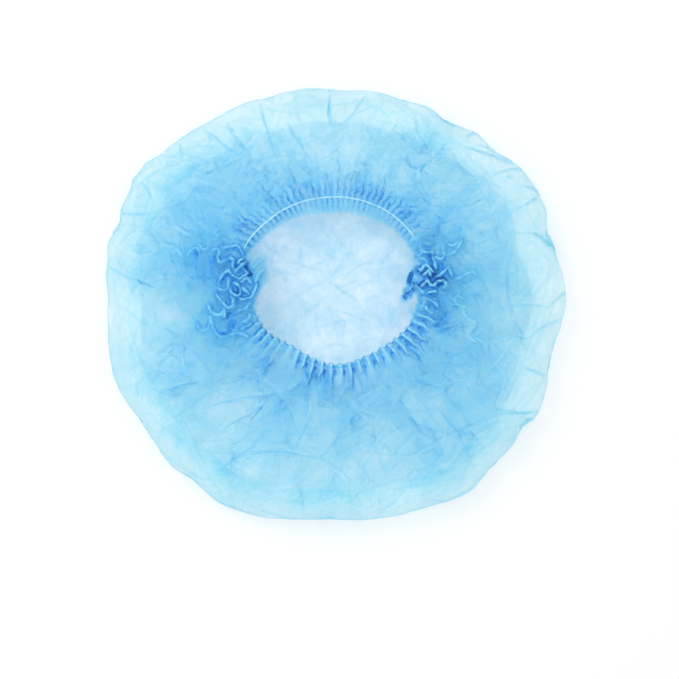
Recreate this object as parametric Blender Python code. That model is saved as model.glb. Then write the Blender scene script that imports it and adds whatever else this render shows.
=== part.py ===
"""Bouffant cap of thin pleated nonwoven cloth, lying on its crown with the gathered opening up.

Metres, +Z up. The origin is on the surface that the cap lies on, under its middle.
+X and +Y are the cap's width and depth, and an angle turns from +X towards +Y.

The loose cloth runs from the flat crown, round the outer edge and back in to the elastic.
There the hem begins, which leans into the opening. Upright folds bunch at both ends.
"""

import math
import random
from typing import NamedTuple

import bpy
from mathutils import Vector
from mathutils.bvhtree import BVHTree

# The loose cloth
CAP_WIDTH = 0.533
CAP_DEPTH = 0.503
PUFF_HEIGHT = 0.047
CLOTH_WALL = 0.0015

# The opening, measured to the elastic's middle line
RIM_HEIGHT = 0.058
OPENING_WIDTH = 0.214
OPENING_DEPTH = 0.196
OPENING_SHIFT = 0.018

# The elastic, the hem inside it, and the gap that neighbours keep
ELASTIC_DIAMETER = 0.0022
HEM_WIDTH = 0.020
SEAT_GAP = 0.0004

# Where the loose cloth laps over the elastic: how far it reaches past the hem's wall
LAP_PAST = 0.0004

# The pleats that the elastic draws up: two columns of points each, a crest and a valley
PLEATS = 60
PLEAT_RISE = 0.0042
PLEAT_LENGTH = 0.034
PLEAT_SEED = 5
HEM_PLEAT_RISE = 0.0016

# The upright folds at both ends, and the saddle in the loose cloth that they stand in
FOLD_WALL = 0.0014
FOLD_HEIGHT = 0.015
FOLD_REACH = 0.036
SADDLE_DEPTH = 0.007
TAIL_WALL = 0.0014
TAIL_HEIGHT = 0.009
TAIL_REACH = 0.010

CLOTH_BLUE = (0.20, 0.55, 0.90, 1.0)
ELASTIC_BLUE = (0.55, 0.82, 0.96, 1.0)
FOLD_BLUE = (0.06, 0.28, 0.75, 1.0)


class Lobe(NamedTuple):
    """A row of a closed outline: an angle in degrees, and the reach as a share of an ellipse."""

    at: float
    reach: float


OUTLINE = (
    Lobe(2, 1.002),
    Lobe(18, 0.971),
    Lobe(33, 1.017),
    Lobe(45, 0.984),
    Lobe(51, 0.993),
    Lobe(60, 0.968),
    Lobe(67, 0.989),
    Lobe(74, 0.978),
    Lobe(83, 0.995),
    Lobe(90, 0.989),
    Lobe(99, 1.004),
    Lobe(107, 0.992),
    Lobe(121, 1.001),
    Lobe(144, 1.056),
    Lobe(153, 1.036),
    Lobe(159, 1.015),
    Lobe(165, 1.032),
    Lobe(180, 1.002),
    Lobe(200, 1.032),
    Lobe(215, 1.013),
    Lobe(227, 1.042),
    Lobe(232, 1.030),
    Lobe(242, 1.056),
    Lobe(268, 1.000),
    Lobe(288, 1.016),
    Lobe(303, 1.040),
    Lobe(311, 1.015),
    Lobe(323, 0.990),
    Lobe(330, 1.014),
    Lobe(345, 0.966),
)

OPENING = (
    Lobe(0, 1.000),
    Lobe(30, 0.985),
    Lobe(60, 0.995),
    Lobe(90, 1.000),
    Lobe(130, 1.020),
    Lobe(160, 1.060),
    Lobe(185, 1.000),
    Lobe(215, 0.990),
    Lobe(238, 0.930),
    Lobe(270, 1.000),
    Lobe(300, 0.960),
    Lobe(335, 0.985),
)


class Section(NamedTuple):
    """A ring of the loose cloth.

    side is under for the way out from the middle, and over for the way back to the elastic.
    share is how far along that way it lies. puff is its height as a share of PUFF_HEIGHT,
    and rim the share of the rise from there to the elastic that it has.
    """

    side: str
    share: float
    puff: float
    rim: float


SECTIONS = (
    Section("under", 0.860, 0.00, 0.00),
    Section("under", 0.945, 0.05, 0.00),
    Section("under", 0.988, 0.19, 0.00),
    Section("over", 0.000, 0.38, 0.00),
    Section("over", 0.022, 0.60, 0.00),
    Section("over", 0.070, 0.79, 0.00),
    Section("over", 0.150, 0.92, 0.00),
    Section("over", 0.260, 0.98, 0.00),
    Section("over", 0.390, 1.00, 0.00),
    Section("over", 0.520, 0.97, 0.05),
    Section("over", 0.640, 0.96, 0.20),
    Section("over", 0.750, 0.98, 0.45),
    Section("over", 0.840, 1.00, 0.75),
    Section("over", 0.915, 1.00, 1.00),
    Section("over", 0.965, 1.00, 1.10),
    Section("over", 1.000, 1.00, 1.00),
)


class Fold(NamedTuple):
    """A soft ridge or valley of the loose cloth, between two shares of its way to the elastic.

    at is its angle at its outer end and lean what it turns by its inner end, in degrees.
    spread is half its width in degrees. rise is a share of PUFF_HEIGHT, negative in a valley.
    """

    at: float
    start: float
    end: float
    lean: float
    spread: float
    rise: float


FOLDS = (
    Fold(-5, -0.02, 0.34, -8, 6, -0.17),
    Fold(17, -0.05, 0.42, 5, 7, -0.18),
    Fold(32, 0.02, 0.55, 3, 7, 0.10),
    Fold(45, -0.04, 0.40, 4, 6, -0.16),
    Fold(61, -0.06, 0.62, -5, 7, -0.24),
    Fold(71, 0.05, 0.52, 2, 6, 0.12),
    Fold(81, 0.00, 0.44, 9, 5, -0.15),
    Fold(92, 0.00, 0.42, 1, 5, -0.13),
    Fold(104, 0.15, 0.62, -2, 6, -0.14),
    Fold(112, 0.02, 0.42, -2, 5, -0.12),
    Fold(121, 0.03, 0.55, -1, 6, -0.17),
    Fold(138, 0.05, 0.70, 3, 9, 0.12),
    Fold(158, -0.08, 0.36, 4, 6, -0.24),
    Fold(170, 0.02, 0.42, 10, 6, -0.14),
    Fold(196, 0.04, 0.55, 0, 8, 0.10),
    Fold(212, -0.04, 0.46, 5, 7, -0.18),
    Fold(231, -0.06, 0.72, 10, 7, -0.21),
    Fold(247, 0.10, 0.66, 5, 7, 0.12),
    Fold(262, 0.00, 0.44, -4, 7, -0.15),
    Fold(281, 0.15, 0.72, 3, 6, -0.13),
    Fold(302, 0.08, 0.78, 5, 7, 0.14),
    Fold(311, -0.05, 0.50, 3, 6, -0.20),
    Fold(325, -0.05, 0.44, 4, 6, -0.19),
    Fold(343, -0.05, 0.40, 3, 7, -0.18),
)


class Rim(NamedTuple):
    """What the cloth does at the elastic, at an angle.

    inwards and down are the shares of the hem's width that it runs. lift and lap are 0 where
    the loose cloth ends beside the elastic, and 1 where it stands above it and laps over it.
    """

    at: float
    inwards: float
    down: float
    lift: float
    lap: float


RIM = (
    Rim(12, 1.35, 0.34, 0.0, 0.0),
    Rim(32, 0.62, 0.60, 0.0, 0.0),
    Rim(90, 0.82, 0.46, 0.0, 0.0),
    Rim(148, 0.60, 0.60, 0.0, 0.0),
    Rim(168, 1.35, 0.34, 0.0, 0.0),
    Rim(192, 1.35, 0.34, 0.0, 0.0),
    Rim(206, 0.50, 0.75, 1.0, 0.0),
    Rim(218, 0.14, 0.90, 1.0, 1.0),
    Rim(270, 0.10, 0.92, 1.0, 1.0),
    Rim(324, 0.14, 0.90, 1.0, 1.0),
    Rim(336, 0.50, 0.75, 1.0, 0.0),
    Rim(349, 1.35, 0.34, 0.0, 0.0),
)


class Bunch(NamedTuple):
    """An upright wall of cloth that winds to and fro along the elastic.

    at and spread are its middle and half its length in degrees, turns its full waves.
    outwards is its middle line's distance from the elastic, negative inside the opening, and
    slant moves its far end outwards. Both are shares of the reach of its waves.
    """

    name: str
    at: float
    spread: float
    turns: float
    outwards: float
    slant: float


LEFT_FOLDS = Bunch("end_folds_left", 178, 25, 5.5, 0.28, 0.47)
RIGHT_FOLDS = Bunch("end_folds_right", 5, 23, 4.5, 0.25, 0.11)
LEFT_TAIL = Bunch("end_tail_left", 179, 10, 2.5, -1.90, 0.00)
RIGHT_TAIL = Bunch("end_tail_right", -2, 10, 2.5, -1.90, 0.00)


class Wave(NamedTuple):
    """A bunch's shape along its length: how wide its waves reach, and how high they stand."""

    along: float
    reach: float
    height: float


FOLD_WAVES = (
    Wave(0.00, 0.35, 0.60),
    Wave(0.22, 0.85, 0.95),
    Wave(0.50, 1.00, 1.00),
    Wave(0.80, 0.75, 0.85),
    Wave(1.00, 0.40, 0.55),
)
TAIL_WAVES = (
    Wave(0.00, 0.50, 0.55),
    Wave(0.40, 1.00, 1.00),
    Wave(1.00, 0.45, 0.70),
)

# Shares of the named sizes, and angles in degrees
HEM_ROWS = (0.0, 0.42, 1.0)
PLEAT_RISES = (0.65, 1.15)
PLEAT_LENGTHS = (0.60, 1.15)
PLEAT_PINCH = 0.15
LAP_PINCH = 0.40
LAP_VALLEY = 0.75
FOLD_ROUNDNESS = 0.7
FOLD_SHARPNESS = 1.2
SADDLE_MARGIN = 9
SADDLE_START = 0.62
SADDLE_END = 0.92
SHARP_ANGLE = 50

# How closely the shapes are drawn
COLUMNS = 2 * PLEATS
ELASTIC_BEVEL_STEPS = 1
BUNCH_STEPS_PER_TURN = 12
BUNCH_CURL = 0.9
PINCH_DISTANCE = 0.006
FOOT_SPREAD = 0.001

ELASTIC_RADIUS = ELASTIC_DIAMETER / 2
EDGE_DISTANCE = ELASTIC_RADIUS + SEAT_GAP
LAP_REACH = EDGE_DISTANCE + CLOTH_WALL + LAP_PAST
LAP_LIFT = EDGE_DISTANCE + CLOTH_WALL + LAP_VALLEY * PLEAT_RISE
CLOTH_ROUGHNESS = 0.85


def eased(part):
    """A share from 0 to 1 with a soft start and end, held at its limits."""
    part = min(1.0, max(0.0, part))
    return part * part * (3 - 2 * part)


def around(table, degrees, column):
    """A column of a closed table at an angle, eased between the rows."""
    degrees = (degrees - table[0].at) % 360 + table[0].at
    rows = (*table, table[0]._replace(at=table[0].at + 360))
    for low, high in zip(rows, rows[1:]):
        if degrees <= high.at:
            part = eased((degrees - low.at) / (high.at - low.at))
            return getattr(low, column) * (1 - part) + getattr(high, column) * part
    return getattr(rows[-1], column)


def along_bunch(table, share, column):
    """A column of a bunch's table at a share of its length."""
    for low, high in zip(table, table[1:]):
        if share <= high.along:
            part = eased((share - low.along) / (high.along - low.along))
            return getattr(low, column) * (1 - part) + getattr(high, column) * part
    return getattr(table[-1], column)


def angle_between(first, second):
    """The smaller turn between two angles, in degrees, with its sign."""
    return (first - second + 180) % 360 - 180


def on_ellipse(table, degrees, width, depth):
    """The plan point of a lobed ellipse at an angle."""
    turn = math.radians(degrees)
    reach = around(table, degrees, "reach")
    return Vector((width / 2 * math.cos(turn), depth / 2 * math.sin(turn))) * reach


def column_angle(column):
    """The angle of a column of points, in degrees."""
    return 360 * column / COLUMNS


def outline_points():
    """The widest ring, one plan point a column, fitted to the cap's width and depth."""
    raw = [on_ellipse(OUTLINE, column_angle(c), CAP_WIDTH, CAP_DEPTH) for c in range(COLUMNS)]
    low = [min(point[axis] for point in raw) for axis in range(2)]
    high = [max(point[axis] for point in raw) for axis in range(2)]
    fit = [size / (high[axis] - low[axis]) for axis, size in enumerate((CAP_WIDTH, CAP_DEPTH))]
    return [
        Vector(((point[axis] - (low[axis] + high[axis]) / 2) * fit[axis] for axis in range(2)))
        for point in raw
    ]


def rim_point(degrees):
    """The plan point of the elastic's middle line at an angle."""
    point = on_ellipse(OPENING, degrees, OPENING_WIDTH, OPENING_DEPTH)
    return point + Vector((0, OPENING_SHIFT))


def rim_outwards(degrees):
    """The plan direction away from the opening, square to the elastic."""
    run = rim_point(degrees + 1) - rim_point(degrees - 1)
    return Vector((run.y, -run.x)).normalized()


def pleat_sizes():
    """A height and a length for each pleat, as shares of the named ones."""
    draw = random.Random(PLEAT_SEED)
    return [(draw.uniform(*PLEAT_RISES), draw.uniform(*PLEAT_LENGTHS)) for _ in range(PLEATS)]


def bunch_room(degrees):
    """1 where upright folds stand, 0 well away from them."""
    room = 0.0
    for bunch in (LEFT_FOLDS, RIGHT_FOLDS):
        beyond = abs(angle_between(degrees, bunch.at)) - bunch.spread
        room = max(room, 1 - eased(beyond / SADDLE_MARGIN))
    return room


def pleat_height(column, distance, sizes):
    """How far a column stands above or below the loose cloth, at a distance from the elastic."""
    rise, length = sizes[column // 2]
    degrees = column_angle(column)
    side = 1 if column % 2 == 0 else -1
    pinch = PLEAT_PINCH + (LAP_PINCH - PLEAT_PINCH) * around(RIM, degrees, "lift")
    grown = pinch + (1 - pinch) * eased(distance / PINCH_DISTANCE)
    faded = 1 - eased(distance / (PLEAT_LENGTH * length))
    return side * rise * PLEAT_RISE * grown * faded * (1 - bunch_room(degrees))


def fold_height(degrees, share):
    """The folds of the loose cloth at an angle and a share of the way to the elastic."""
    height = 0.0
    for fold in FOLDS:
        run = (share - fold.start) / (fold.end - fold.start)
        if not 0 < run < 1:
            continue
        off = abs(angle_between(degrees, fold.at + fold.lean * run)) / fold.spread
        if off < 1:
            shape = math.sin(math.pi * run) ** FOLD_ROUNDNESS * (1 - off) ** FOLD_SHARPNESS
            height += fold.rise * PUFF_HEIGHT * shape
    return height


def saddle_depth(degrees, share):
    """How far the cloth dips under the upright folds."""
    near = eased((share - SADDLE_START) / (SADDLE_END - SADDLE_START))
    return SADDLE_DEPTH * bunch_room(degrees) * near


def add_mesh(name, points, faces, colour):
    """A smooth-shaded object of some points and faces."""
    mesh = bpy.data.meshes.new(name)
    mesh.from_pydata([tuple(point) for point in points], [], faces)
    mesh.validate()
    mesh.shade_smooth()
    mesh.set_sharp_from_angle(angle=math.radians(SHARP_ANGLE))
    return add_object(name, mesh, colour)


def add_cloth(name, points, faces, offset, colour):
    """A sheet made into a cloth wall, on the side of its faces that offset says."""
    piece = add_mesh(name, points, faces, colour)
    wall = piece.modifiers.new("wall", "SOLIDIFY")
    wall.thickness = CLOTH_WALL
    wall.offset = offset
    return piece


def add_object(name, data, colour):
    """An object in the scene with a material of its own."""
    piece = bpy.data.objects.new(name, data)
    bpy.context.scene.collection.objects.link(piece)
    material = bpy.data.materials.new(name)
    material.use_nodes = True
    shader = material.node_tree.nodes["Principled BSDF"]
    shader.inputs["Base Color"].default_value = colour
    shader.inputs["Roughness"].default_value = CLOTH_ROUGHNESS
    shader.inputs["Metallic"].default_value = 0.0
    data.materials.append(material)
    return piece


def ring_faces(rings, first):
    """Quads between rings of points that follow one another, from a first index."""
    faces = []
    for low in range(first, first + (rings - 1) * COLUMNS, COLUMNS):
        high = low + COLUMNS
        for column in range(COLUMNS):
            following = (column + 1) % COLUMNS
            faces.append((low + column, low + following, high + following, high + column))
    return faces


def add_crown():
    """The loose cloth: a flat crown, the outer edge, and the puffed way back to the elastic."""
    outline = outline_points()
    sizes = pleat_sizes()
    points = [Vector((0, 0, 0))]
    for section in SECTIONS:
        for column in range(COLUMNS):
            degrees = column_angle(column)
            rise = RIM_HEIGHT + LAP_LIFT * around(RIM, degrees, "lift") - PUFF_HEIGHT
            height = section.puff * PUFF_HEIGHT + section.rim * rise
            if section.side == "under":
                place = outline[column] * section.share
            else:
                lap = around(RIM, degrees, "lap")
                past = EDGE_DISTANCE * (1 - lap) - LAP_REACH * lap
                rim = rim_point(degrees)
                place = outline[column].lerp(rim + rim_outwards(degrees) * past, section.share)
                height += fold_height(degrees, section.share)
                height += pleat_height(column, (place - rim).length, sizes)
                height -= saddle_depth(degrees, section.share)
            points.append(Vector((place.x, place.y, height)))
    fan = [(0, 1 + (column + 1) % COLUMNS, 1 + column) for column in range(COLUMNS)]
    faces = fan + ring_faces(len(SECTIONS), 1)
    return add_cloth("crown", points, faces, -1, CLOTH_BLUE)


def elastic_height(degrees):
    """The elastic's height, level with the cloth's edge on its outer side."""
    return RIM_HEIGHT - saddle_depth(degrees, 1.0)


def add_hem():
    """The pleated edge of the cloth that leans into the opening from the elastic."""
    points = []
    for share in HEM_ROWS:
        for column in range(COLUMNS):
            degrees = column_angle(column)
            outwards = rim_outwards(degrees)
            inwards = around(RIM, degrees, "inwards")
            down = around(RIM, degrees, "down")
            place = rim_point(degrees) - outwards * (EDGE_DISTANCE + inwards * HEM_WIDTH * share)
            height = elastic_height(degrees) - down * HEM_WIDTH * share
            side = 1 if column % 2 == 0 else -1
            pleat = side * HEM_PLEAT_RISE * math.sqrt(share) * (1 - bunch_room(degrees))
            length = math.hypot(inwards, down)
            place = place - outwards * (pleat * down / length)
            points.append(Vector((place.x, place.y, height + pleat * inwards / length)))
    return add_cloth("hem", points, ring_faces(len(HEM_ROWS), 0), 1, CLOTH_BLUE)


def add_elastic():
    """The round elastic that draws the opening in, lying in the seam between cloth and hem."""
    curve = bpy.data.curves.new("elastic", "CURVE")
    curve.dimensions = "3D"
    curve.bevel_depth = ELASTIC_RADIUS
    curve.bevel_resolution = ELASTIC_BEVEL_STEPS
    spline = curve.splines.new("POLY")
    spline.use_cyclic_u = True
    spline.points.add(PLEATS - 1)
    for index, point in enumerate(spline.points):
        degrees = column_angle(2 * index)
        place = rim_point(degrees)
        point.co = (place.x, place.y, elastic_height(degrees), 1)
    return add_object("elastic", curve, ELASTIC_BLUE)


def bunch_line(bunch, waves, reach):
    """Plan points and shares of the length along a bunch's winding middle line."""
    steps = round(bunch.turns * BUNCH_STEPS_PER_TURN)
    line = []
    for step in range(steps + 1):
        share = step / steps
        phase = 2 * math.pi * bunch.turns * share
        curled = share - BUNCH_CURL / (2 * math.pi * bunch.turns) * math.sin(2 * phase)
        degrees = bunch.at + bunch.spread * (2 * curled - 1)
        across = along_bunch(waves, share, "reach") / 2 * math.sin(phase)
        distance = reach * (bunch.outwards + bunch.slant * share + across)
        line.append((rim_point(degrees) + rim_outwards(degrees) * distance, share))
    return line


def add_bunch(bunch, waves, reach, wall, height, foot, colour):
    """An upright winding wall. foot gives the height that it stands at over a plan point."""
    line = bunch_line(bunch, waves, reach)
    points = []
    for index, (place, share) in enumerate(line):
        before = line[max(index - 1, 0)][0]
        after = line[min(index + 1, len(line) - 1)][0]
        run = (after - before).normalized()
        side = Vector((run.y, -run.x)) * wall / 2
        beside = [place.lerp(before, 0.5), place, place.lerp(after, 0.5)]
        low = max(foot(spot + step) for spot in beside for step in (side, -side))
        top = low + height * along_bunch(waves, share, "height")
        for plan, level in ((-side, low), (side, low), (side, top), (-side, top)):
            points.append(Vector((place.x + plan.x, place.y + plan.y, level)))
    last = 4 * (len(line) - 1)
    faces = [(0, 1, 2, 3), (last + 3, last + 2, last + 1, last)]
    for low in range(0, last, 4):
        for corner in range(4):
            following = (corner + 1) % 4
            faces.append((low + following, low + corner, low + 4 + corner, low + 4 + following))
    return add_mesh(bunch.name, points, faces, colour)


def seat_on(pieces):
    """A function that gives the height just clear of some pieces over a plan point."""
    graph = bpy.context.evaluated_depsgraph_get()
    trees = []
    for piece in pieces:
        shape = piece.evaluated_get(graph).to_mesh()
        points = [vertex.co.copy() for vertex in shape.vertices]
        trees.append(BVHTree.FromPolygons(points, [tuple(face.vertices) for face in shape.polygons]))
    above = RIM_HEIGHT + PUFF_HEIGHT
    near = [Vector((across, along)) * FOOT_SPREAD for across in (-1, 0, 1) for along in (-1, 0, 1)]

    def foot(plan):
        starts = [Vector((plan.x + step.x, plan.y + step.y, above)) for step in near]
        met = [tree.ray_cast(start, Vector((0, 0, -1)))[0] for tree in trees for start in starts]
        return max(place.z for place in met if place) + SEAT_GAP

    return foot


def main():
    for old in list(bpy.data.objects):
        bpy.data.objects.remove(old)
    foot = seat_on([add_crown(), add_elastic(), add_hem()])
    for bunch in (LEFT_FOLDS, RIGHT_FOLDS):
        add_bunch(bunch, FOLD_WAVES, FOLD_REACH, FOLD_WALL, FOLD_HEIGHT, foot, FOLD_BLUE)
    for bunch in (LEFT_TAIL, RIGHT_TAIL):
        add_bunch(bunch, TAIL_WAVES, TAIL_REACH, TAIL_WALL, TAIL_HEIGHT, foot, FOLD_BLUE)


main()
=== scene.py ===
"""The dressed bouffant cap: thin see-through nonwoven, crumpled and pleated, drawn in by an elastic.

Metres, in the frame of the solid model: +Z up from the surface that the cap lies on, +X and +Y
across and up the photograph. Angles are in degrees, from +X towards +Y, and they are those of an
ellipse's parameter, so that one angle names the same spoke on the outline and on the opening.

Each piece of cloth is a sheet one layer thick. Its points stand in columns, which run from the
middle of the crown round the outer edge and back in to the elastic, and in rings across them.
"""

from __future__ import annotations

import logging
import math
from dataclasses import dataclass
from enum import Enum
from typing import Any, NamedTuple, Optional, Sequence, Union

import bpy
import numpy as np
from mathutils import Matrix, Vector


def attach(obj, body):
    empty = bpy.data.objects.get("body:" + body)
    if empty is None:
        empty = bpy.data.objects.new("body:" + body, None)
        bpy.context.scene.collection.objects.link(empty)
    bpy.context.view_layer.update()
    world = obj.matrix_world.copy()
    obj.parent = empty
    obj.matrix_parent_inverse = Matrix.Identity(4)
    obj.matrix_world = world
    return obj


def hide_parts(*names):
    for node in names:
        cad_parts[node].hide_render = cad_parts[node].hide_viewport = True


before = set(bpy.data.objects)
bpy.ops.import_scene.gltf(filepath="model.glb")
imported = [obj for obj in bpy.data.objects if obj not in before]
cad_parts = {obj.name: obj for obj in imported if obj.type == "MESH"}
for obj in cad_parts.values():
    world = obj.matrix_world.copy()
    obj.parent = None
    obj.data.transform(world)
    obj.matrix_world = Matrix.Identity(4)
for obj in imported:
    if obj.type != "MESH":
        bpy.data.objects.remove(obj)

LOG = logging.getLogger("cap")
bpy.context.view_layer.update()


class Lobe(NamedTuple):
    """A closed outline at an angle: its reach, as a share of an ellipse's."""

    at: float
    reach: float


# Where the photo's outline turns. A program measured this off the photo, and about half
# of the rows were added or mended later, against gaps that a program measured too.
OUTLINE: tuple[Lobe, ...] = tuple(Lobe(*row) for row in (
    (2, 1.002), (18, 0.971), (27, 1.015), (33, 1.022), (39, 1.012), (45, 0.986), (51, 0.993),
    (60, 0.968), (67, 0.989), (74, 0.978), (83, 0.995), (90, 0.989), (99, 1.004), (107, 0.995),
    (114, 1.008), (121, 1.010), (138, 1.032), (144, 1.056), (147, 1.056), (150, 1.043),
    (156, 1.040), (159, 1.024), (165, 1.041), (170, 1.024), (180, 1.002), (200, 1.032),
    (215, 1.013), (227, 1.042), (232, 1.030), (242, 1.056), (268, 1.000), (288, 1.016),
    (303, 1.040), (311, 1.013), (319, 1.008), (324, 0.986), (330, 1.009), (345, 0.966),
))

# Read off the photo.
OPENING: tuple[Lobe, ...] = tuple(Lobe(*row) for row in (
    (0, 1.000), (30, 0.985), (60, 0.995), (90, 1.000), (130, 1.020), (160, 1.060), (185, 1.000),
    (215, 0.990), (238, 0.930), (270, 1.000), (300, 0.960), (335, 0.985),
))


class Section(NamedTuple):
    """A ring of the loose cloth, as in the solid model.

    under is 1 on the way out from the middle and 0 on the way back to the elastic, and share is
    how far along that way the ring lies. puff is its height as a share of the puff's, and rim
    the share that it has of the rise from there to the elastic.
    """

    under: int
    share: float
    puff: float
    rim: float


SECTIONS: tuple[Section, ...] = tuple(Section(*row) for row in (
    (1, 0.860, 0.00, 0.00), (1, 0.945, 0.05, 0.00), (1, 0.988, 0.19, 0.00), (0, 0.000, 0.38, 0.00),
    (0, 0.022, 0.60, 0.00), (0, 0.070, 0.79, 0.00), (0, 0.150, 0.92, 0.00), (0, 0.260, 0.98, 0.00),
    (0, 0.390, 1.00, 0.00), (0, 0.520, 0.97, 0.05), (0, 0.640, 0.96, 0.20), (0, 0.750, 0.98, 0.45),
    (0, 0.840, 1.00, 0.75), (0, 0.915, 1.00, 1.00), (0, 0.965, 1.00, 1.10), (0, 1.000, 1.00, 1.00),
))


class Fold(NamedTuple):
    """A soft ridge or valley of the loose cloth, between two shares of its way to the elastic.

    at is its angle at its outer end and lean what it turns by its inner end. spread is half its
    width in degrees. rise is a share of the puff's height, negative in a valley.
    """

    at: float
    start: float
    end: float
    lean: float
    spread: float
    rise: float


FOLDS: tuple[Fold, ...] = tuple(Fold(*row) for row in (
    (-5, -0.02, 0.34, -8, 6, -0.17), (17, -0.05, 0.42, 5, 7, -0.18), (32, 0.02, 0.55, 3, 7, 0.10),
    (45, -0.04, 0.40, 4, 6, -0.16), (61, -0.06, 0.62, -5, 7, -0.24), (71, 0.05, 0.52, 2, 6, 0.12),
    (81, 0.00, 0.44, 9, 5, -0.15), (92, 0.00, 0.42, 1, 5, -0.13), (104, 0.15, 0.62, -2, 6, -0.14),
    (112, 0.02, 0.42, -2, 5, -0.12), (121, 0.03, 0.55, -1, 6, -0.17),
    (138, 0.05, 0.70, 3, 9, 0.12), (158, -0.08, 0.36, 4, 6, -0.24),
    (170, 0.02, 0.42, 10, 6, -0.14), (196, 0.04, 0.55, 0, 8, 0.10),
    (212, -0.04, 0.46, 5, 7, -0.18), (231, -0.06, 0.72, 10, 7, -0.21),
    (247, 0.10, 0.66, 5, 7, 0.12), (262, 0.00, 0.44, -4, 7, -0.15), (281, 0.15, 0.72, 3, 6, -0.13),
    (302, 0.08, 0.78, 5, 7, 0.14), (311, -0.05, 0.50, 3, 6, -0.20),
    (325, -0.05, 0.44, 4, 6, -0.19), (343, -0.05, 0.40, 3, 7, -0.18),
))


class Rim(NamedTuple):
    """What the cloth does at the elastic, at an angle.

    inwards and down are the shares of the hem's width that it runs. lap is 0 where the cloth
    passes under the elastic and 1 where it laps over it. saddle is how far the rim dips.
    """

    at: float
    inwards: float
    down: float
    lap: float
    saddle: float


RIM: tuple[Rim, ...] = tuple(Rim(*row) for row in (
    (-17, 0.30, 0.75, 1.0, 0.5), (-9, 0.45, 0.60, 1.0, 0.9), (2, 0.70, 0.45, 0.0, 1.0),
    (14, 0.34, 0.60, 0.0, 0.9), (34, 0.55, 0.60, 0.0, 0.1), (90, 0.86, 0.40, 0.0, 0.0),
    (146, 0.50, 0.60, 0.0, 0.1), (162, 0.25, 0.75, 0.0, 0.8), (174, 0.80, 0.45, 0.0, 1.0),
    (188, 0.55, 0.60, 1.0, 0.9), (197, 0.28, 0.75, 1.0, 0.5), (216, 0.20, 0.85, 1.0, 0.1),
    (270, 0.12, 0.90, 1.0, 0.0), (322, 0.20, 0.85, 1.0, 0.1),
))


class Pleating(NamedTuple):
    """The pleats at an angle of the opening.

    pitch and rise are in metres, and length is how far they run out into the loose cloth.
    zigzag is how far their crests swing to and fro, as a share of the pitch.
    """

    at: float
    pitch: float
    rise: float
    length: float
    zigzag: float


PLEATING: tuple[Pleating, ...] = tuple(Pleating(*row) for row in (
    (2, 0.0100, 0.0036, 0.050, 0.42), (24, 0.0085, 0.0028, 0.032, 0.36),
    (45, 0.0066, 0.0024, 0.023, 0.34), (90, 0.0064, 0.0024, 0.023, 0.32),
    (135, 0.0066, 0.0024, 0.025, 0.36), (156, 0.0085, 0.0030, 0.036, 0.40),
    (178, 0.0100, 0.0036, 0.070, 0.48), (204, 0.0094, 0.0036, 0.044, 0.34),
    (224, 0.0094, 0.0036, 0.030, 0.18), (270, 0.0106, 0.0038, 0.019, 0.12),
    (316, 0.0102, 0.0036, 0.024, 0.16), (338, 0.0098, 0.0036, 0.040, 0.28),
))


class Run(NamedTuple):
    """Pleats of one width.

    scale is how many of the finest pleats they are wide. start and reach say where they begin and
    end, as shares of the finest ones' length, and strength is their share of the height.
    """

    scale: int
    start: float
    reach: float
    strength: float


RUNS: tuple[Run, ...] = (Run(1, 0.0, 1.0, 1.0), Run(2, 0.25, 1.9, 0.6), Run(4, 0.5, 3.2, 0.7))


class Shade(NamedTuple):
    """A patch where the cloth lies more or fewer layers deep.

    at and reach place its middle, as a share of the way from the opening's middle to the
    outline. size is its half width in metres, and depth half the share of layers that it adds.
    """

    at: float
    reach: float
    size: float
    depth: float


SHADES: tuple[Shade, ...] = tuple(Shade(*row) for row in (
    (166, 0.70, 0.055, 0.32), (172, 0.53, 0.024, 0.42), (186, 0.88, 0.050, -0.26),
    (197, 0.52, 0.030, 0.28), (208, 0.72, 0.042, 0.34), (228, 0.66, 0.050, -0.32),
    (241, 0.56, 0.032, 0.26), (240, 0.90, 0.040, 0.12), (160, 0.60, 0.045, 0.22),
    (145, 0.72, 0.045, 0.36), (134, 0.80, 0.030, 0.20), (206, 0.94, 0.040, -0.12),
    (126, 0.62, 0.040, 0.22), (105, 0.77, 0.045, -0.26), (104, 0.56, 0.026, 0.18),
    (85, 0.74, 0.050, -0.20), (62, 0.48, 0.026, 0.22), (62, 0.80, 0.036, 0.28),
    (60, 0.91, 0.030, 0.42), (46, 0.54, 0.040, 0.28), (46, 0.82, 0.028, 0.22),
    (47, 0.94, 0.026, -0.24), (28, 0.68, 0.050, 0.38), (6, 0.74, 0.040, 0.18),
    (2, 0.93, 0.040, -0.18), (356, 0.46, 0.017, 0.50), (347, 0.46, 0.017, 0.45),
    (349, 0.58, 0.028, 0.22), (330, 0.69, 0.042, 0.44), (332, 0.90, 0.036, -0.10),
    (315, 0.84, 0.045, 0.28), (300, 0.86, 0.050, 0.30), (307, 0.59, 0.030, -0.20),
    (285, 0.76, 0.045, -0.24), (272, 0.50, 0.030, 0.24), (268, 0.96, 0.060, 0.18),
    (262, 0.66, 0.040, -0.14), (250, 0.80, 0.045, -0.10),
))


class Layers(NamedTuple):
    """How many layers of cloth lie on each other at a share of the way out to the outline."""

    at: float
    layers: float


LAYERS: tuple[Layers, ...] = tuple(Layers(*row) for row in (
    (0.40, 3.3), (0.47, 3.0), (0.55, 2.75), (0.65, 2.10), (0.75, 1.70), (0.84, 1.40), (0.89, 0.62),
    (0.96, 0.43), (1.02, 0.38),
))


class Crease(NamedTuple):
    """A long crease of the loose cloth, from one place to another.

    Each place is an angle and a share of the way from the cap's middle to its edge. lit is true
    where the crease is a painted highlight line with a painted shadow beside it, and false where
    it is a dark line, of more layers and painted shade, with a painted highlight beside it.
    """

    start: tuple[float, float]
    end: tuple[float, float]
    lit: bool = False
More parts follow.
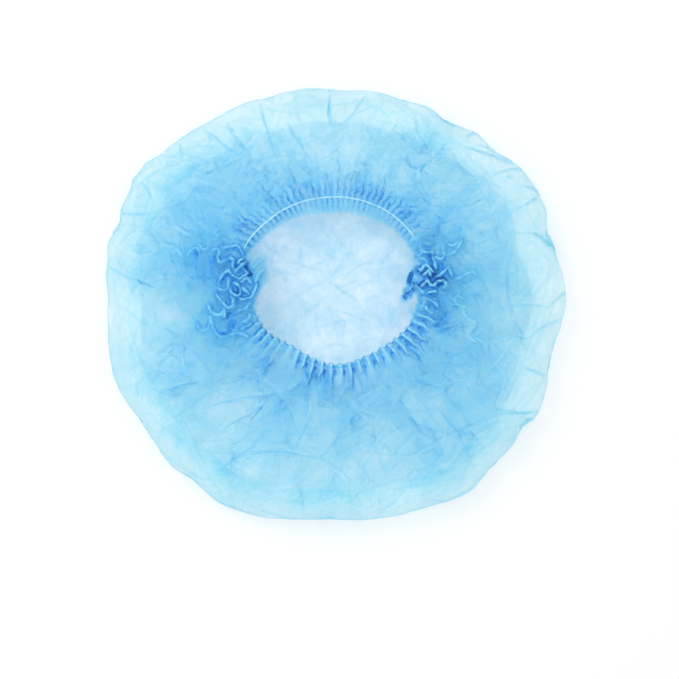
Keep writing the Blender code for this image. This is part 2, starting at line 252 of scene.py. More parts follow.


# Places read off the photo. A program turned them into angles and shares.
CREASES: tuple[Crease, ...] = tuple(Crease(*row) for row in (
    ((92, 0.99), (92, 0.78)), ((87, 0.80), (82, 0.97)), ((105, 0.84), (99, 0.64)),
    ((110, 0.98), (112, 0.70)), ((121, 0.93), (120, 0.77)), ((126, 0.99), (121, 0.77)),
    ((133, 1.00), (136, 0.92)), ((137, 0.83), (119, 0.77)), ((147, 0.99), (151, 0.90)),
    ((156, 1.02), (154, 0.90)), ((171, 0.99), (175, 0.80)), ((202, 0.82), (198, 0.73)),
    ((209, 0.88), (214, 0.65)), ((218, 0.88), (218, 0.69)), ((221, 0.76), (240, 0.50)),
    ((231, 0.78), (238, 0.55)), ((236, 0.94), (244, 0.66)), ((236, 0.81), (240, 0.69)),
    ((243, 0.79), (264, 0.73)), ((251, 0.66), (255, 0.71)), ((255, 0.71), (259, 0.52)),
    ((264, 0.73), (272, 0.60)), ((275, 0.49), (283, 0.58)), ((300, 0.52), (301, 0.73)),
    ((309, 0.46), (319, 0.63)), ((310, 0.62), (309, 0.87)), ((322, 0.81), (330, 1.00)),
    ((338, 0.44), (349, 0.57)), ((339, 0.84), (339, 0.96)), ((346, 0.75), (348, 0.85)),
    ((348, 0.85), (355, 0.97)), ((357, 0.73), (358, 0.92)), ((358, 0.92), (2, 1.00)),
    ((19, 0.93), (14, 1.01)), ((28, 0.88), (29, 1.00)), ((33, 0.95), (29, 1.02)),
    ((40, 0.88), (37, 1.04)), ((50, 0.94), (40, 1.02)), ((53, 0.93), (51, 1.01)),
    ((66, 0.72), (56, 0.67)), ((154, 0.77), (155, 0.68), True), ((162, 0.80), (161, 0.73), True),
    ((161, 0.73), (164, 0.68), True), ((3, 0.53), (358, 0.50), True),
    ((358, 0.50), (356, 0.56), True), ((356, 0.54), (351, 0.56), True),
    ((351, 0.56), (349, 0.61), True), ((349, 0.61), (344, 0.58), True),
    ((344, 0.58), (341, 0.63), True), ((343, 0.61), (341, 0.69), True),
    ((57, 0.74), (60, 0.68), True), ((60, 0.68), (56, 0.64), True),
))


class Facets(NamedTuple):
    """Facets of crumpled cloth: their size, and the size and reach of the bends in their edges.

    All three are in metres. shift moves the pattern, so that no two on one cloth are alike.
    """

    size: float
    bend_size: float
    bend_reach: float
    shift: float


PUFF_FACETS: tuple[Facets, ...] = (
    Facets(0.022, 0.024, 0.007, 0.0),
    Facets(0.012, 0.012, 0.004, 1.1),
    Facets(0.0062, 0.006, 0.002, 2.3),
)
BASE_FACETS: tuple[Facets, ...] = (
    Facets(0.036, 0.03, 0.010, 1.7),
    Facets(0.016, 0.012, 0.005, 2.9),
)


class Strokes(NamedTuple):
    """Random creases of the loose cloth.

    lengths are the least and greatest, as shares of the rings, and turn how far they turn from
    the spokes. width is how far a crease reaches to its sides and rise its height, in metres.
    strength is how dark its line is.
    """

    count: int
    lengths: tuple[float, float]
    turn: float
    width: float
    rise: float
    strength: float


STROKES: tuple[Strokes, ...] = (
    Strokes(110, (0.10, 0.36), 0.4, 0.0055, 0.0028, 0.9),
    Strokes(640, (0.04, 0.15), 1.3, 0.0034, 0.0014, 0.85),
)


class Ridge(NamedTuple):
    """The crest of an upright fold where the strip of cloth ends.

    height is in millimetres. depth says how many layers lie together in its bends, from 0 to 3,
    and with them how much painted shade lies on the inner side of the bends.
    points are places in plan, in millimetres.
    """

    height: float
    depth: float
    points: tuple[tuple[float, float], ...]


# The ridges' points were read off the photo. A program turned most of them into
# millimetres. Heights and depths were given one by one.
LEFT_FOLDS: tuple[Ridge, ...] = tuple(Ridge(*row) for row in (
    (7, 0.5, ((-172, 47), (-162, 57), (-158, 56), (-154, 48))),
    (6, 0.3, ((-158, 63), (-151, 55), (-147, 56), (-146, 66), (-153, 73))),
    (4, 0.4, ((-136, 87), (-133, 82), (-139, 75), (-134, 72), (-127, 73))),
    (10, 0.5, ((-144, 52), (-135, 55), (-132, 51), (-135, 45), (-133, 39), (-124, 44))),
    (12, 1.1, ((-124, 44), (-120, 45), (-116, 42), (-117, 35), (-114, 30), (-110, 33), (-103, 42))),
    (10, 1.6, ((-112, 37), (-109, 42), (-105, 46))),
    (6, 0.9, ((-133, 59), (-129, 56), (-120, 59), (-114, 60), (-110, 56), (-107, 51), (-105, 46))),
    (12, 0.9, ((-135, 14), (-131, 22), (-122, 30), (-116, 24), (-110, 20), (-107, 22), (-102, 27),
       (-106, 33))),
    (11, 0.6, ((-123, 26), (-121, 15), (-122, 10), (-126, 7), (-135, 10))),
    (11, 1.2, ((-119, 17), (-111, 13), (-108, 8), (-109, 3), (-112, 1), (-117, 3), (-119, 9),
       (-119, 16))),
    (11, 0.9, ((-111, 16), (-106, 17), (-101, 22), (-98, 18), (-94, 15))),
    (11, 0.7, ((-107, 11), (-102, 7), (-97, 2))),
    (11, 0.9, ((-112, 0), (-108, -3), (-104, -4), (-99, -2), (-95, 2), (-92, 13), (-92, 20))),
    (11, 0.9, ((-137, 9), (-134, 2), (-127, -9), (-121, -13), (-116, -10), (-116, -3), (-123, 3))),
    (8, 0.6, ((-146, -8), (-141, -18), (-135, -22), (-130, -21), (-127, -16), (-129, -12))),
    (8, 0.7, ((-126, -12), (-126, -20), (-127, -27))),
    (8, 0.5, ((-114, -17), (-109, -16), (-103, -14), (-97, -5))),
    (6, 0.5, ((-158, -26), (-156, -35), (-152, -38), (-146, -35), (-144, -30), (-142, -18))),
    (6, 0.7, ((-142, -18), (-142, -28), (-139, -35), (-135, -41), (-129, -46), (-122, -45))),
    (6, 0.5, ((-122, -45), (-115, -43), (-109, -41), (-103, -44), (-96, -48))),
    (6, 0.6, ((-99, -18), (-98, -23), (-103, -27), (-109, -29))),
    (6, 0.8, ((-94, -29), (-98, -32), (-104, -35), (-109, -38))),
    (1, 1.2, ((-122, -18), (-120, -27), (-120, -35), (-122, -41), (-129, -41))),
    (1, 1.1, ((-117, -19), (-115, -27), (-116, -35))),
    (2, 2.0, ((-103, 36), (-102, 32), (-99, 25))),
    (2, 1.5, ((-108, 37), (-101, 41))),
    (1, 1.1, ((-141, 47), (-141, 27))),
    (1, 0.9, ((-160, 51), (-160, 33))),
))

RIGHT_FOLDS: tuple[Ridge, ...] = tuple(Ridge(*row) for row in (
    (9, 0.5, ((95, 64), (97, 56), (99, 52), (92, 44))),
    (9, 0.9, ((99, 52), (104, 50), (109, 50), (110, 46))),
    (10, 0.6, ((93, 45), (98, 44), (102, 42), (106, 37))),
    (11, 1.1, ((108, 48), (111, 42), (114, 33), (114, 28))),
    (11, 1.9, ((93, 35), (97, 31), (102, 37), (105, 35), (109, 30), (113, 28))),
    (11, 2.4, ((98, 25), (102, 29), (104, 31), (107, 26), (110, 22))),
    (12, 0.9, ((110, 22), (115, 24), (123, 30), (128, 34), (131, 28), (135, 21))),
    (7, 0.2, ((134, 22), (138, 21), (146, 25), (156, 30), (163, 24))),
    (11, 2.4, ((95, 11), (99, 14), (104, 19), (107, 14), (110, 13), (115, 17), (124, 22))),
    (9, 0.4, ((89, 16), (93, 11), (100, 3))),
    (6, 0.3, ((100, 3), (100, -6), (92, -17))),
    (10, 1.3, ((102, 4), (106, 6), (115, 7))),
    (10, 0.9, ((101, -2), (106, -4), (111, -7), (116, -14))),
    (9, 0.6, ((99, -11), (104, -15), (111, -21))),
    (9, 0.4, ((122, 65), (123, 56), (125, 47), (132, 51), (140, 58), (145, 69))),
    (8, 0.5, ((128, 63), (132, 60), (136, 60), (143, 69))),
    (9, 0.7, ((110, 47), (116, 45), (121, 43), (125, 46))),
    (7, 0.3, ((97, 65), (102, 61), (106, 60), (109, 62))),
    (7, 0.4, ((122, 21), (126, 13), (118, 10))),
    (6, 0.2, ((131, 4), (139, 8), (138, 0), (147, -3))),
    (1, 0.7, ((90, 29), (91, 19))),
    (1, 0.9, ((117, 36), (122, 36))),
    (1, 0.9, ((118, 0), (124, -8))),
))

LEFT_TAIL: tuple[Ridge, ...] = tuple(Ridge(*row) for row in (
    (8, 0.2, ((-97, 33), (-90, 40), (-84, 45))),
    (8, 0.2, ((-92, 14), (-92, 21), (-89, 27), (-83, 34), (-82, 37))),
    (1, 0.25, ((-84, 31), (-82, 26), (-85, 19), (-88, 13))),
))

RIGHT_TAIL: tuple[Ridge, ...] = tuple(Ridge(*row) for row in (
    (1, 3.0, ((83, 19), (85, 24), (88, 30))),
    (1, 1.6, ((77, -1), (81, 5), (85, 11))),
    (1, 1.2, ((83, 1), (87, 8))),
    (1, 2.6, ((89, 9), (90, 17))),
    (4, 0.8, ((79, 7), (86, 13), (90, 19))),
))

Number = Union[float, "Signal"]
Table = Sequence[NamedTuple]


def eased(part: np.ndarray) -> np.ndarray:
    """A share from 0 to 1 with a soft start and end, held at its limits.

    Args:
        part: The share to ease.

    Returns:
        The eased share.
    """
    part = np.clip(part, 0.0, 1.0)
    return part * part * (3 - 2 * part)


def around(table: Table, degrees: np.ndarray, column: str) -> np.ndarray:
    """A column of a closed table at some angles, eased between the rows.

    Args:
        table: Rows in the order of their angles.
        degrees: The angles.
        column: The name of the column.

    Returns:
        The column's values at the angles.
    """
    at = np.array([row.at for row in table] + [table[0].at + 360.0])
    values = np.array([getattr(row, column) for row in table] + [getattr(table[0], column)])
    turned = (np.asarray(degrees, float) - at[0]) % 360 + at[0]
    low = np.clip(np.searchsorted(at, turned, side="right") - 1, 0, len(at) - 2)
    part = eased((turned - at[low]) / (at[low + 1] - at[low]))
    return values[low] * (1 - part) + values[low + 1] * part


def smooth_noise(shape: tuple[int, int], cells: tuple[int, int], draw: np.random.Generator) -> np.ndarray:
    """Soft noise from -1 to 1 over a grid whose columns close on themselves.

    Args:
        shape: Rows and columns of the grid.
        cells: Rows and columns of random values that the noise passes through.
        draw: The source of the random values.

    Returns:
        The noise, one value a point.
    """
    knots = draw.uniform(-1, 1, (cells[0] + 1, cells[1]))
    row = np.linspace(0, cells[0], shape[0], endpoint=False)[:, None]
    column = np.linspace(0, cells[1], shape[1], endpoint=False)[None, :]
    low_row, low_column = row.astype(int), column.astype(int)
    next_column = (low_column + 1) % cells[1]
    row_part, column_part = eased(row - low_row), eased(column - low_column)
    near = knots[low_row, low_column] * (1 - column_part) + knots[low_row, next_column] * column_part
    far = knots[low_row + 1, low_column] * (1 - column_part)
    far = far + knots[low_row + 1, next_column] * column_part
    return near * (1 - row_part) + far * row_part


def through(knots: np.ndarray, values: np.ndarray, at: np.ndarray) -> np.ndarray:
    """A smooth curve through some values.

    Args:
        knots: Where the values stand, rising.
        values: The values.
        at: Where to read the curve.

    Returns:
        The curve's values.
    """
    slopes = np.gradient(values, knots)
    low = np.clip(np.searchsorted(knots, at, side="right") - 1, 0, len(knots) - 2)
    span = knots[low + 1] - knots[low]
    part = (at - knots[low]) / span
    rise = part * part * (3 - 2 * part)
    start = part * (1 - part) ** 2 * span * slopes[low]
    end = part * part * (part - 1) * span * slopes[low + 1]
    return values[low] * (1 - rise) + values[low + 1] * rise + start + end


class Signal:
    """A number that varies over a surface: a shader socket that Python can do sums with."""

    def __init__(self, graph: "Graph", socket: bpy.types.NodeSocket) -> None:
        """Keep the graph that the socket belongs to, and the socket."""
        self.graph = graph
        self.socket = socket

    def _maths(self, operation: str, *values: Number) -> "Signal":
        """A Math node's result."""
        return self.graph.signal("ShaderNodeMath", {"operation": operation}, dict(enumerate(values)))

    def __add__(self, other: Number) -> "Signal":
        """This plus the other."""
        return self._maths("ADD", self, other)

    __radd__ = __add__

    def __sub__(self, other: Number) -> "Signal":
        """This less the other."""
        return self._maths("SUBTRACT", self, other)

    def __rsub__(self, other: Number) -> "Signal":
        """The other less this."""
        return self._maths("SUBTRACT", other, self)

    def __mul__(self, other: Number) -> "Signal":
        """This times the other."""
        return self._maths("MULTIPLY", self, other)

    __rmul__ = __mul__

    def __truediv__(self, other: Number) -> "Signal":
        """This divided by the other."""
        return self._maths("DIVIDE", self, other)

    def __rpow__(self, other: Number) -> "Signal":
        """The other to the power of this."""
        return self._maths("POWER", other, self)

    def held(self) -> "Signal":
        """This, held between 0 and 1."""
        return self._maths("MAXIMUM", self._maths("MINIMUM", self, 1.0), 0.0)


class Graph:
    """The shader nodes of one material."""

    def __init__(self, name: str) -> None:
        """Start a material of that name with no nodes but its output."""
        self.material = bpy.data.materials.new(name)
        self.material.use_nodes = True
        self.tree = self.material.node_tree
        self.tree.nodes.clear()

    def add(self, kind: str, settings: dict[str, Any], values: dict[Any, Any]) -> bpy.types.Node:
        """A node with its settings made and its sockets filled.

        Args:
            kind: The node's type.
            settings: Attributes of the node.
            values: Socket names or numbers, with a value, a Signal or a socket for each.

        Returns:
            The node.
        """
        node = self.tree.nodes.new(kind)
        for name, setting in settings.items():
            setattr(node, name, setting)
        for name, value in values.items():
            socket = node.inputs[name]
            if isinstance(value, Signal):
                self.tree.links.new(value.socket, socket)
            elif isinstance(value, bpy.types.NodeSocket):
                self.tree.links.new(value, socket)
            else:
                socket.default_value = value
        return node

    def signal(self, kind: str, settings: dict[str, Any], values: dict[Any, Any], output: Any = 0) -> Signal:
        """A node's output as a Signal.

        Args:
            kind: The node's type.
            settings: As add takes them.
            values: As add takes them.
            output: The output's name or number.

        Returns:
            The output.
        """
        return Signal(self, self.add(kind, settings, values).outputs[output])

    def blend(self, share: Number, low: Any, high: Any) -> bpy.types.NodeSocket:
        """A colour between two.

        Args:
            share: 0 for the first colour and 1 for the second.
            low: The first colour, or a socket that gives it.
            high: The second colour, or a socket that gives it.

        Returns:
            The socket of the mixed colour.
        """
        node = self.add("ShaderNodeMix", {"data_type": "RGBA"}, {0: share, 6: low, 7: high})
        return node.outputs[2]

    def attribute(self, name: str) -> Signal:
        """A number kept on the mesh's points."""
        return self.signal("ShaderNodeAttribute", {"attribute_name": name}, {}, "Fac")

    def noise(self, place: bpy.types.NodeSocket, size: float, detail: float) -> Signal:
        """Noise from 0 to 1 in lumps of about a size.

        Args:
            place: The coordinates to read it at, in metres.
            size: The lumps' size in metres.
            detail: How many finer octaves it has.

        Returns:
            The noise.
        """
        values = {"Vector": place, "Scale": 1 / size, "Detail": detail, "Roughness": 0.6}
        return self.signal("ShaderNodeTexNoise", {"noise_dimensions": "2D"}, values, "Fac")

    def place(self) -> bpy.types.NodeSocket:
        """The object's own coordinates, in metres."""
        return self.add("ShaderNodeTexCoord", {}, {}).outputs["Object"]

    def finish(self, shader: bpy.types.NodeSocket) -> bpy.types.Material:
        """The material, showing a shader."""
        self.add("ShaderNodeOutputMaterial", {}, {"Surface": shader})
        return self.material


@dataclass(frozen=True)
class NonwovenFinish:
    """Thin spun nonwoven cloth: fibres with gaps between, so that what lies behind shows.

    cover is the share of one layer that its fibres cover. The mesh's layers attribute says how
    many layers lie on each other, and its crest attribute where a painted highlight, in the crest
    colour and with less light let through from behind, lies along a fold's edge.
    The colours are those of the numbers of layers in layer_steps.
    """

    name: str
    colours: tuple[tuple[float, float, float, float], ...] = (
        (0.24, 0.80, 0.89, 1.0),
        (0.20, 0.63, 0.92, 1.0),
        (0.04, 0.33, 0.82, 1.0),
        (0.00, 0.07, 0.38, 1.0),
    )
    layer_steps: tuple[float, ...] = (0.5, 3.0, 9.0, 20.0)
    # crest is the colour of the painted highlight along the folds' edges.
    crest: tuple[float, float, float, float] = (0.30, 0.84, 1.00, 1.0)
    cover: float = 0.25
    fibre_size: float = 0.0028
    bump_height: float = 0.0004

    def material(self) -> bpy.types.Material:
        """The material.

        Returns:
            A material that covers more of what lies behind it where more layers lie together.
        """
        graph = Graph(self.name)
        fibres = graph.noise(graph.place(), self.fibre_size, 3.0) - 0.5
        plies = graph.attribute("layers") * (1.0 + fibres * 1.2)
        cover = (1.0 - (1.0 - self.cover) ** plies).held()
        filled: Any = self.colours[0]
        for low, high, deeper in zip(self.layer_steps, self.layer_steps[1:], self.colours[1:]):
            filled = graph.blend(((plies - low) / (high - low)).held(), filled, deeper)
        # The crest attribute paints a highlight: a lighter colour along the folds' edges.
        crest = graph.attribute("crest")
        colour = graph.blend(crest, filled, self.crest)
        relief = {"Strength": 0.5, "Distance": self.bump_height, "Height": fibres}
        uneven = graph.add("ShaderNodeBump", {}, relief).outputs["Normal"]
        values = {"Base Color": colour, "Roughness": 0.65, "Specular IOR Level": 0.25, "Normal": uneven}
        front = graph.add("ShaderNodeBsdfPrincipled", {}, values).outputs[0]
        back = graph.add("ShaderNodeBsdfTranslucent", {}, {"Color": self.crest}).outputs[0]
        gaps = graph.add("ShaderNodeBsdfTransparent", {}, {"Color": (1, 1, 1, 1)}).outputs[0]
        # Less light comes through from behind on the painted highlights, so that they read lighter.
        share = (0.45 - 0.35 * crest) * (1.0 - 0.9 * ((plies - 3.0) / 8.0).held())
        cloth = graph.add("ShaderNodeMixShader", {}, {0: share, 1: front, 2: back}).outputs[0]
        sheet = graph.add("ShaderNodeMixShader", {}, {0: cover, 1: gaps, 2: cloth}).outputs[0]
        return graph.finish(sheet)


@dataclass(frozen=True)
class ElasticFinish:
    """A thin covered elastic: pale, with the slant of its covering yarn."""

    name: str
    yarn: tuple[float, float, float, float] = (0.62, 0.95, 1.0, 1.0)
    gap: tuple[float, float, float, float] = (0.22, 0.66, 0.84, 1.0)

    def material(self) -> bpy.types.Material:
        """The material.

        Returns:
            A matt material with slanting bands.
        """
        graph = Graph(self.name)
        place = graph.place()
        bands = graph.signal(
            "ShaderNodeTexWave",
            {"wave_type": "BANDS", "bands_direction": "DIAGONAL"},
            {"Vector": place, "Scale": 260.0, "Distortion": 1.5, "Detail": 1.0},
            "Fac",
        )
        raised = graph.add(
            "ShaderNodeBump", {}, {"Strength": 0.5, "Distance": 0.0003, "Height": bands}
        ).outputs["Normal"]
        values = {"Base Color": graph.blend(bands, self.gap, self.yarn), "Roughness": 0.5, "Normal": raised}
        return graph.finish(graph.add("ShaderNodeBsdfPrincipled", {}, values).outputs[0])


@dataclass(frozen=True)
class FloorFinish:
    """The plain pale floor."""

    name: str
    colour: tuple[float, float, float, float] = (0.96, 0.96, 0.96, 1.0)

    def material(self) -> bpy.types.Material:
        """The material.

        Returns:
            A plain matt material.
        """
        graph = Graph(self.name)
        values = {"Base Color": self.colour, "Roughness": 0.9, "Specular IOR Level": 0.1}
        return graph.finish(graph.add("ShaderNodeBsdfPrincipled", {}, values).outputs[0])


@dataclass
class Plan:
    """The cap's driving sizes, and the lines in plan and height that they give."""

    width: float = 0.533
    depth: float = 0.503
    puff_height: float = 0.047
    rim_height: float = 0.058
    opening_width: float = 0.214
    opening_depth: float = 0.196
    opening_shift: float = 0.018
    hem_width: float = 0.020
    elastic_radius: float = 0.0011
    seat_gap: float = 0.0003
    lap_lift: float = 0.0055
    lap_reach: float = 0.0034
    saddle_depth: float = 0.007
    columns_per_pleat: int = 12

    def __post_init__(self) -> None:
        """Space the columns evenly along the pleats."""
        fine = np.linspace(0, 360, 7201)
        rim = self.rim(fine)
        steps = np.hypot(*np.diff(rim, axis=0).T)
        pitch = around(PLEATING, (fine[1:] + fine[:-1]) / 2, "pitch")
        pleats = np.concatenate([[0], np.cumsum(steps / pitch)])
        self.pleats = 4 * round(pleats[-1] / 4)
        pleats *= self.pleats / pleats[-1]
        self.columns = self.pleats * self.columns_per_pleat
        self.phase = np.arange(self.columns) / self.columns_per_pleat
        self.angles = np.interp(self.phase, pleats, fine)
        self.outline_line = self.outline(self.angles)
        self.rim_line = self.rim(self.angles)
        self.outwards = self.rim_outwards(self.angles)

    def along(self, table: Table, column: str) -> np.ndarray:
        """A column of a closed table at the columns of points."""
        return around(table, self.angles, column)

    @staticmethod
    def lobed(table: Table, degrees: np.ndarray, width: float, depth: float) -> np.ndarray:
        """Plan points of a lobed ellipse at some angles."""
        turn = np.radians(degrees)
        reach = around(table, degrees, "reach")
        return np.stack([width / 2 * np.cos(turn) * reach, depth / 2 * np.sin(turn) * reach], axis=-1)

    def outline(self, degrees: np.ndarray) -> np.ndarray:
        """Plan points of the widest ring, fitted to the cap's width and depth."""
        whole = self.lobed(OUTLINE, np.arange(0, 360, 3.0), self.width, self.depth)
        low, high = whole.min(axis=0), whole.max(axis=0)
        fit = np.array([self.width, self.depth]) / (high - low)
        return (self.lobed(OUTLINE, degrees, self.width, self.depth) - (low + high) / 2) * fit

    def rim(self, degrees: np.ndarray) -> np.ndarray:
        """Plan points of the elastic's middle line."""
        points = self.lobed(OPENING, degrees, self.opening_width, self.opening_depth)
        return points + np.array([0, self.opening_shift])

    def rim_outwards(self, degrees: np.ndarray) -> np.ndarray:
        """Plan directions away from the opening, square to the elastic."""
        run = self.rim(degrees + 1) - self.rim(degrees - 1)
        square = np.stack([run[:, 1], -run[:, 0]], axis=-1)
        return square / np.linalg.norm(square, axis=1, keepdims=True)

    def elastic_height(self, degrees: np.ndarray) -> np.ndarray:
        """Heights of the elastic's middle line."""
        return self.rim_height - self.saddle_depth * around(RIM, degrees, "saddle")


class Cells(NamedTuple):
    """What a pattern of uneven cells gives at some points.

    dimple is about 0 in a cell's middle and 1 at its edge, edge the distance from the edge in
    metres, and patch a random value from 0 to 1 for the cell.
    """

    dimple: np.ndarray
    edge: np.ndarray
    patch: np.ndarray


class Crumple:
    """Random forms of thin crumpled cloth, over any points of it in a plane."""

    def __init__(self, seed: int, lattice: int = 64) -> None:
        """Draw the random values that the forms are made from."""
        self.draw = np.random.default_rng(seed)
        self.lattice = lattice
        self.values = self.draw.uniform(-1, 1, (lattice, lattice))
        self.seeds = self.draw.random((lattice, lattice, 2))
        self.patches = self.draw.random((lattice, lattice))

    def noise(self, points: np.ndarray, size: float, octaves: int = 1) -> np.ndarray:
        """Soft noise from -1 to 1 in lumps of a size, with finer and weaker ones on them."""
        total = np.zeros(points.shape[:-1])
        for octave in range(octaves):
            at = points / size * 2.03**octave + 7.7 * octave
            low = np.floor(at).astype(int)
            part = eased(at - low)
            corner = [
                [self.values[tuple(((low + (x, y)) % self.lattice).T)].T for y in (0, 1)]
                for x in (0, 1)
            ]
            rows = [low_y + (high_y - low_y) * part[..., 1] for low_y, high_y in corner]
            total += (rows[0] + (rows[1] - rows[0]) * part[..., 0]) * 0.55**octave
        return total

    def bent(self, points: np.ndarray, size: float, reach: float) -> np.ndarray:
        """Points pushed to and fro by noise."""
        push = [self.noise(points + shift, size) for shift in (0.0, 3.3)]
        return points + reach * np.stack(push, axis=-1)

    def cells(self, points: np.ndarray, size: float) -> Cells:
        """Uneven cells with straight edges, like the facets of crumpled paper."""
        low = np.floor(points / size).astype(int)
        near = np.full(points.shape[:-1], np.inf)
        far = near.copy()
        patch, place, other = np.zeros(near.shape), np.zeros(points.shape), np.zeros(points.shape)
        for step in np.ndindex(3, 3):
            beside = low + np.array(step) - 1
            key = tuple(np.moveaxis(beside % self.lattice, -1, 0))
            seed = (beside + self.seeds[key]) * size
            apart = ((points - seed) ** 2).sum(axis=-1)
            nearest, second = apart < near, (apart < far) & (apart >= near)
            other = np.where(nearest[..., None], place, np.where(second[..., None], seed, other))
            far = np.where(nearest, near, np.where(second, apart, far))
            near = np.where(nearest, apart, near)
            place = np.where(nearest[..., None], seed, place)
            patch = np.where(nearest, self.patches[key], patch)
        gap = np.maximum(np.linalg.norm(other - place, axis=-1), 1e-9)
        dimple = np.sqrt(near + (0.15 * size) ** 2) / size * 1.4
        return Cells(dimple, (far - near) / (2 * gap), patch)

    def facets(self, points: np.ndarray, kind: Facets) -> Cells:
        """Cells of one of the tables' kinds, with bent edges."""
        bent = self.bent(points + kind.shift, kind.bend_size, kind.bend_reach)
        return self.cells(bent, kind.size)

    def creases(
        self, points: np.ndarray, starts: np.ndarray, ends: np.ndarray, width: float, even: bool = False
    ) -> tuple[np.ndarray, np.ndarray, np.ndarray]:
        """Narrow ridges and valleys along slightly curved lines.

        Args:
            points: The points in space, one a row.
            starts: Where each crease starts.
            ends: Where each crease ends.
            width: How far a crease reaches to its sides, about.
            even: Whether all are ridges, equally wide and strong.

        Returns:
            For each point, a height from about -1 to 1, how near it lies to a crease's line, and
            how near to the edge beside one, where a painted highlight goes, or a painted shadow beside a
            lit crease.
        """
        total, line, glint = np.zeros(len(points)), np.zeros(len(points)), np.zeros(len(points))
        for start, end in zip(starts, ends):
            run = end - start
            length = np.linalg.norm(run)
            if length < 1e-6:
                continue
            run = run / length
            vary = 0.0 if even else 1.0
            reach = width * (1 + vary * self.draw.uniform(-0.4, 0.5))
            bend = self.draw.uniform(-0.08, 0.08) * (1 + 2 * vary) * length
            lopsided = 1 + vary * self.draw.uniform(-0.5, 0.6)
            sign = 1 if even or self.draw.random() < 0.62 else -1
            strength = 1 + vary * self.draw.uniform(-0.5, 0.2)
            near = (np.abs(points - (start + end) / 2) < length / 2 + reach).all(axis=1)
            gap = points[near] - start
            part = gap @ run / length
            side = np.array([-run[1], run[0], 0.0])
            across = gap @ side - bend * 4 * part * (1 - part)
            wide = reach * np.where(across > 0, lopsided, 1.0)
            taper = np.clip(4 * part * (1 - part), 0, 1) ** (0.35 + 0.15 * vary) * strength
            total[near] += sign * np.clip(1 - np.abs(across) / wide, 0, 1) ** 1.25 * taper
            line[near] = np.maximum(line[near], np.exp(-((across / (0.0014 - 0.0003 * vary)) ** 2)) * taper)
            beside = np.exp(-(((sign * across - 0.0028) / 0.0014) ** 2)) * taper
            glint[near] = np.maximum(glint[near], beside)
        return total, line, glint


class Sheet:
    """A grid of points, rings by columns, one layer of cloth thick."""

    def __init__(self, points: np.ndarray, closed: bool = True) -> None:
        """Keep the points (rings, columns and three coordinates), and whether the columns close."""
        self.points = points
        self.closed = closed
        self.layers = np.ones(points.shape[:2])
        self.crest = np.zeros(points.shape[:2])

    def tangents(self) -> tuple[np.ndarray, np.ndarray]:
        """Unit directions along the columns' order and along the rings' order."""
        if self.closed:
            turned = np.roll(self.points, -1, axis=1) - np.roll(self.points, 1, axis=1)
        else:
            turned = np.gradient(self.points, axis=1)
        return unit(turned), unit(np.gradient(self.points, axis=0))

    def normals(self) -> np.ndarray:
        """Unit normals, outwards where the rings lead out under the cap and back over it."""
        turned, onwards = self.tangents()
        return unit(np.cross(turned, onwards))

    def thicken_slopes(self, most: float = 3.2) -> None:
        """Count more layers where the cloth stands steep, as light takes a longer way through it.

        Args:
            most: The greatest factor.
        """
        level = np.maximum(np.abs(self.normals()[:, :, 2]), 1 / most)
        self.layers = self.layers / level**0.85

    def build(
        self, name: str, material: bpy.types.Material, rings: slice = slice(None)
    ) -> bpy.types.Object:
        """An object with a face between each four neighbouring points.

        Args:
            name: The object's name.
            material: Its material.
            rings: The rings that it has.

        Returns:
            The object, smooth shaded, with its layers and its painted highlights (the crest attribute)
            as attributes. Faces without cloth are left out.
        """
        points = self.points[rings]
        count, columns = points.shape[:2]
        spans = columns if self.closed else columns - 1
        ring, column = np.meshgrid(np.arange(count - 1), np.arange(spans), indexing="ij")
        following = (column + 1) % columns
        corners = [(ring, column), (ring, following), (ring + 1, following), (ring + 1, column)]
        faces = np.stack([a * columns + b for a, b in corners], axis=-1).reshape(-1, 4)
        covered = (self.layers[rings].ravel()[faces] > 0.03).any(axis=1)
        used, faces = np.unique(faces[covered], return_inverse=True)
        mesh = bpy.data.meshes.new(name)
        mesh.from_pydata(points.reshape(-1, 3)[used].tolist(), [], faces.reshape(-1, 4).tolist())
        mesh.update()
        mesh.shade_smooth()
        mesh.normals_split_custom_set_from_vertices(self.normals()[rings].reshape(-1, 3)[used].tolist())
        for label, values in (("layers", self.layers), ("crest", self.crest)):
            layer = mesh.attributes.new(label, "FLOAT", "POINT")
            layer.data.foreach_set("value", np.maximum(values[rings], 0).ravel()[used].astype(np.float32))
        mesh.materials.append(material)
        piece = bpy.data.objects.new(name, mesh)
        bpy.context.scene.collection.objects.link(piece)
        return piece


def unit(vectors: np.ndarray) -> np.ndarray:
    """Vectors at length 1."""
    return vectors / np.maximum(np.linalg.norm(vectors, axis=-1, keepdims=True), 1e-12)


def above(height: np.ndarray, lowest: float = 0.0012, soft: float = 0.0010) -> np.ndarray:
    """Heights kept above the floor, with a soft bend where they would go below it."""
    over = height - lowest
    return lowest + (over + np.hypot(over, soft)) / 2


def crested(phase: np.ndarray, roundness: float = 0.30) -> np.ndarray:
    """Pleats with narrow crests and wide valleys.

    Args:
        phase: A whole number on each crest.
        roundness: How blunt the crests are.

    Returns:
        1 on the crests, falling to -1 in the valleys.
    """
    wave = np.sqrt(np.sin(math.pi * phase) ** 2 + roundness**2) - roundness
    return 1 - 2 * wave / (math.sqrt(1 + roundness**2) - roundness)


def cloth_area(piece: bpy.types.Object) -> float:
    """The area of a piece's faces, in square metres."""
    return sum(face.area for face in piece.data.polygons)


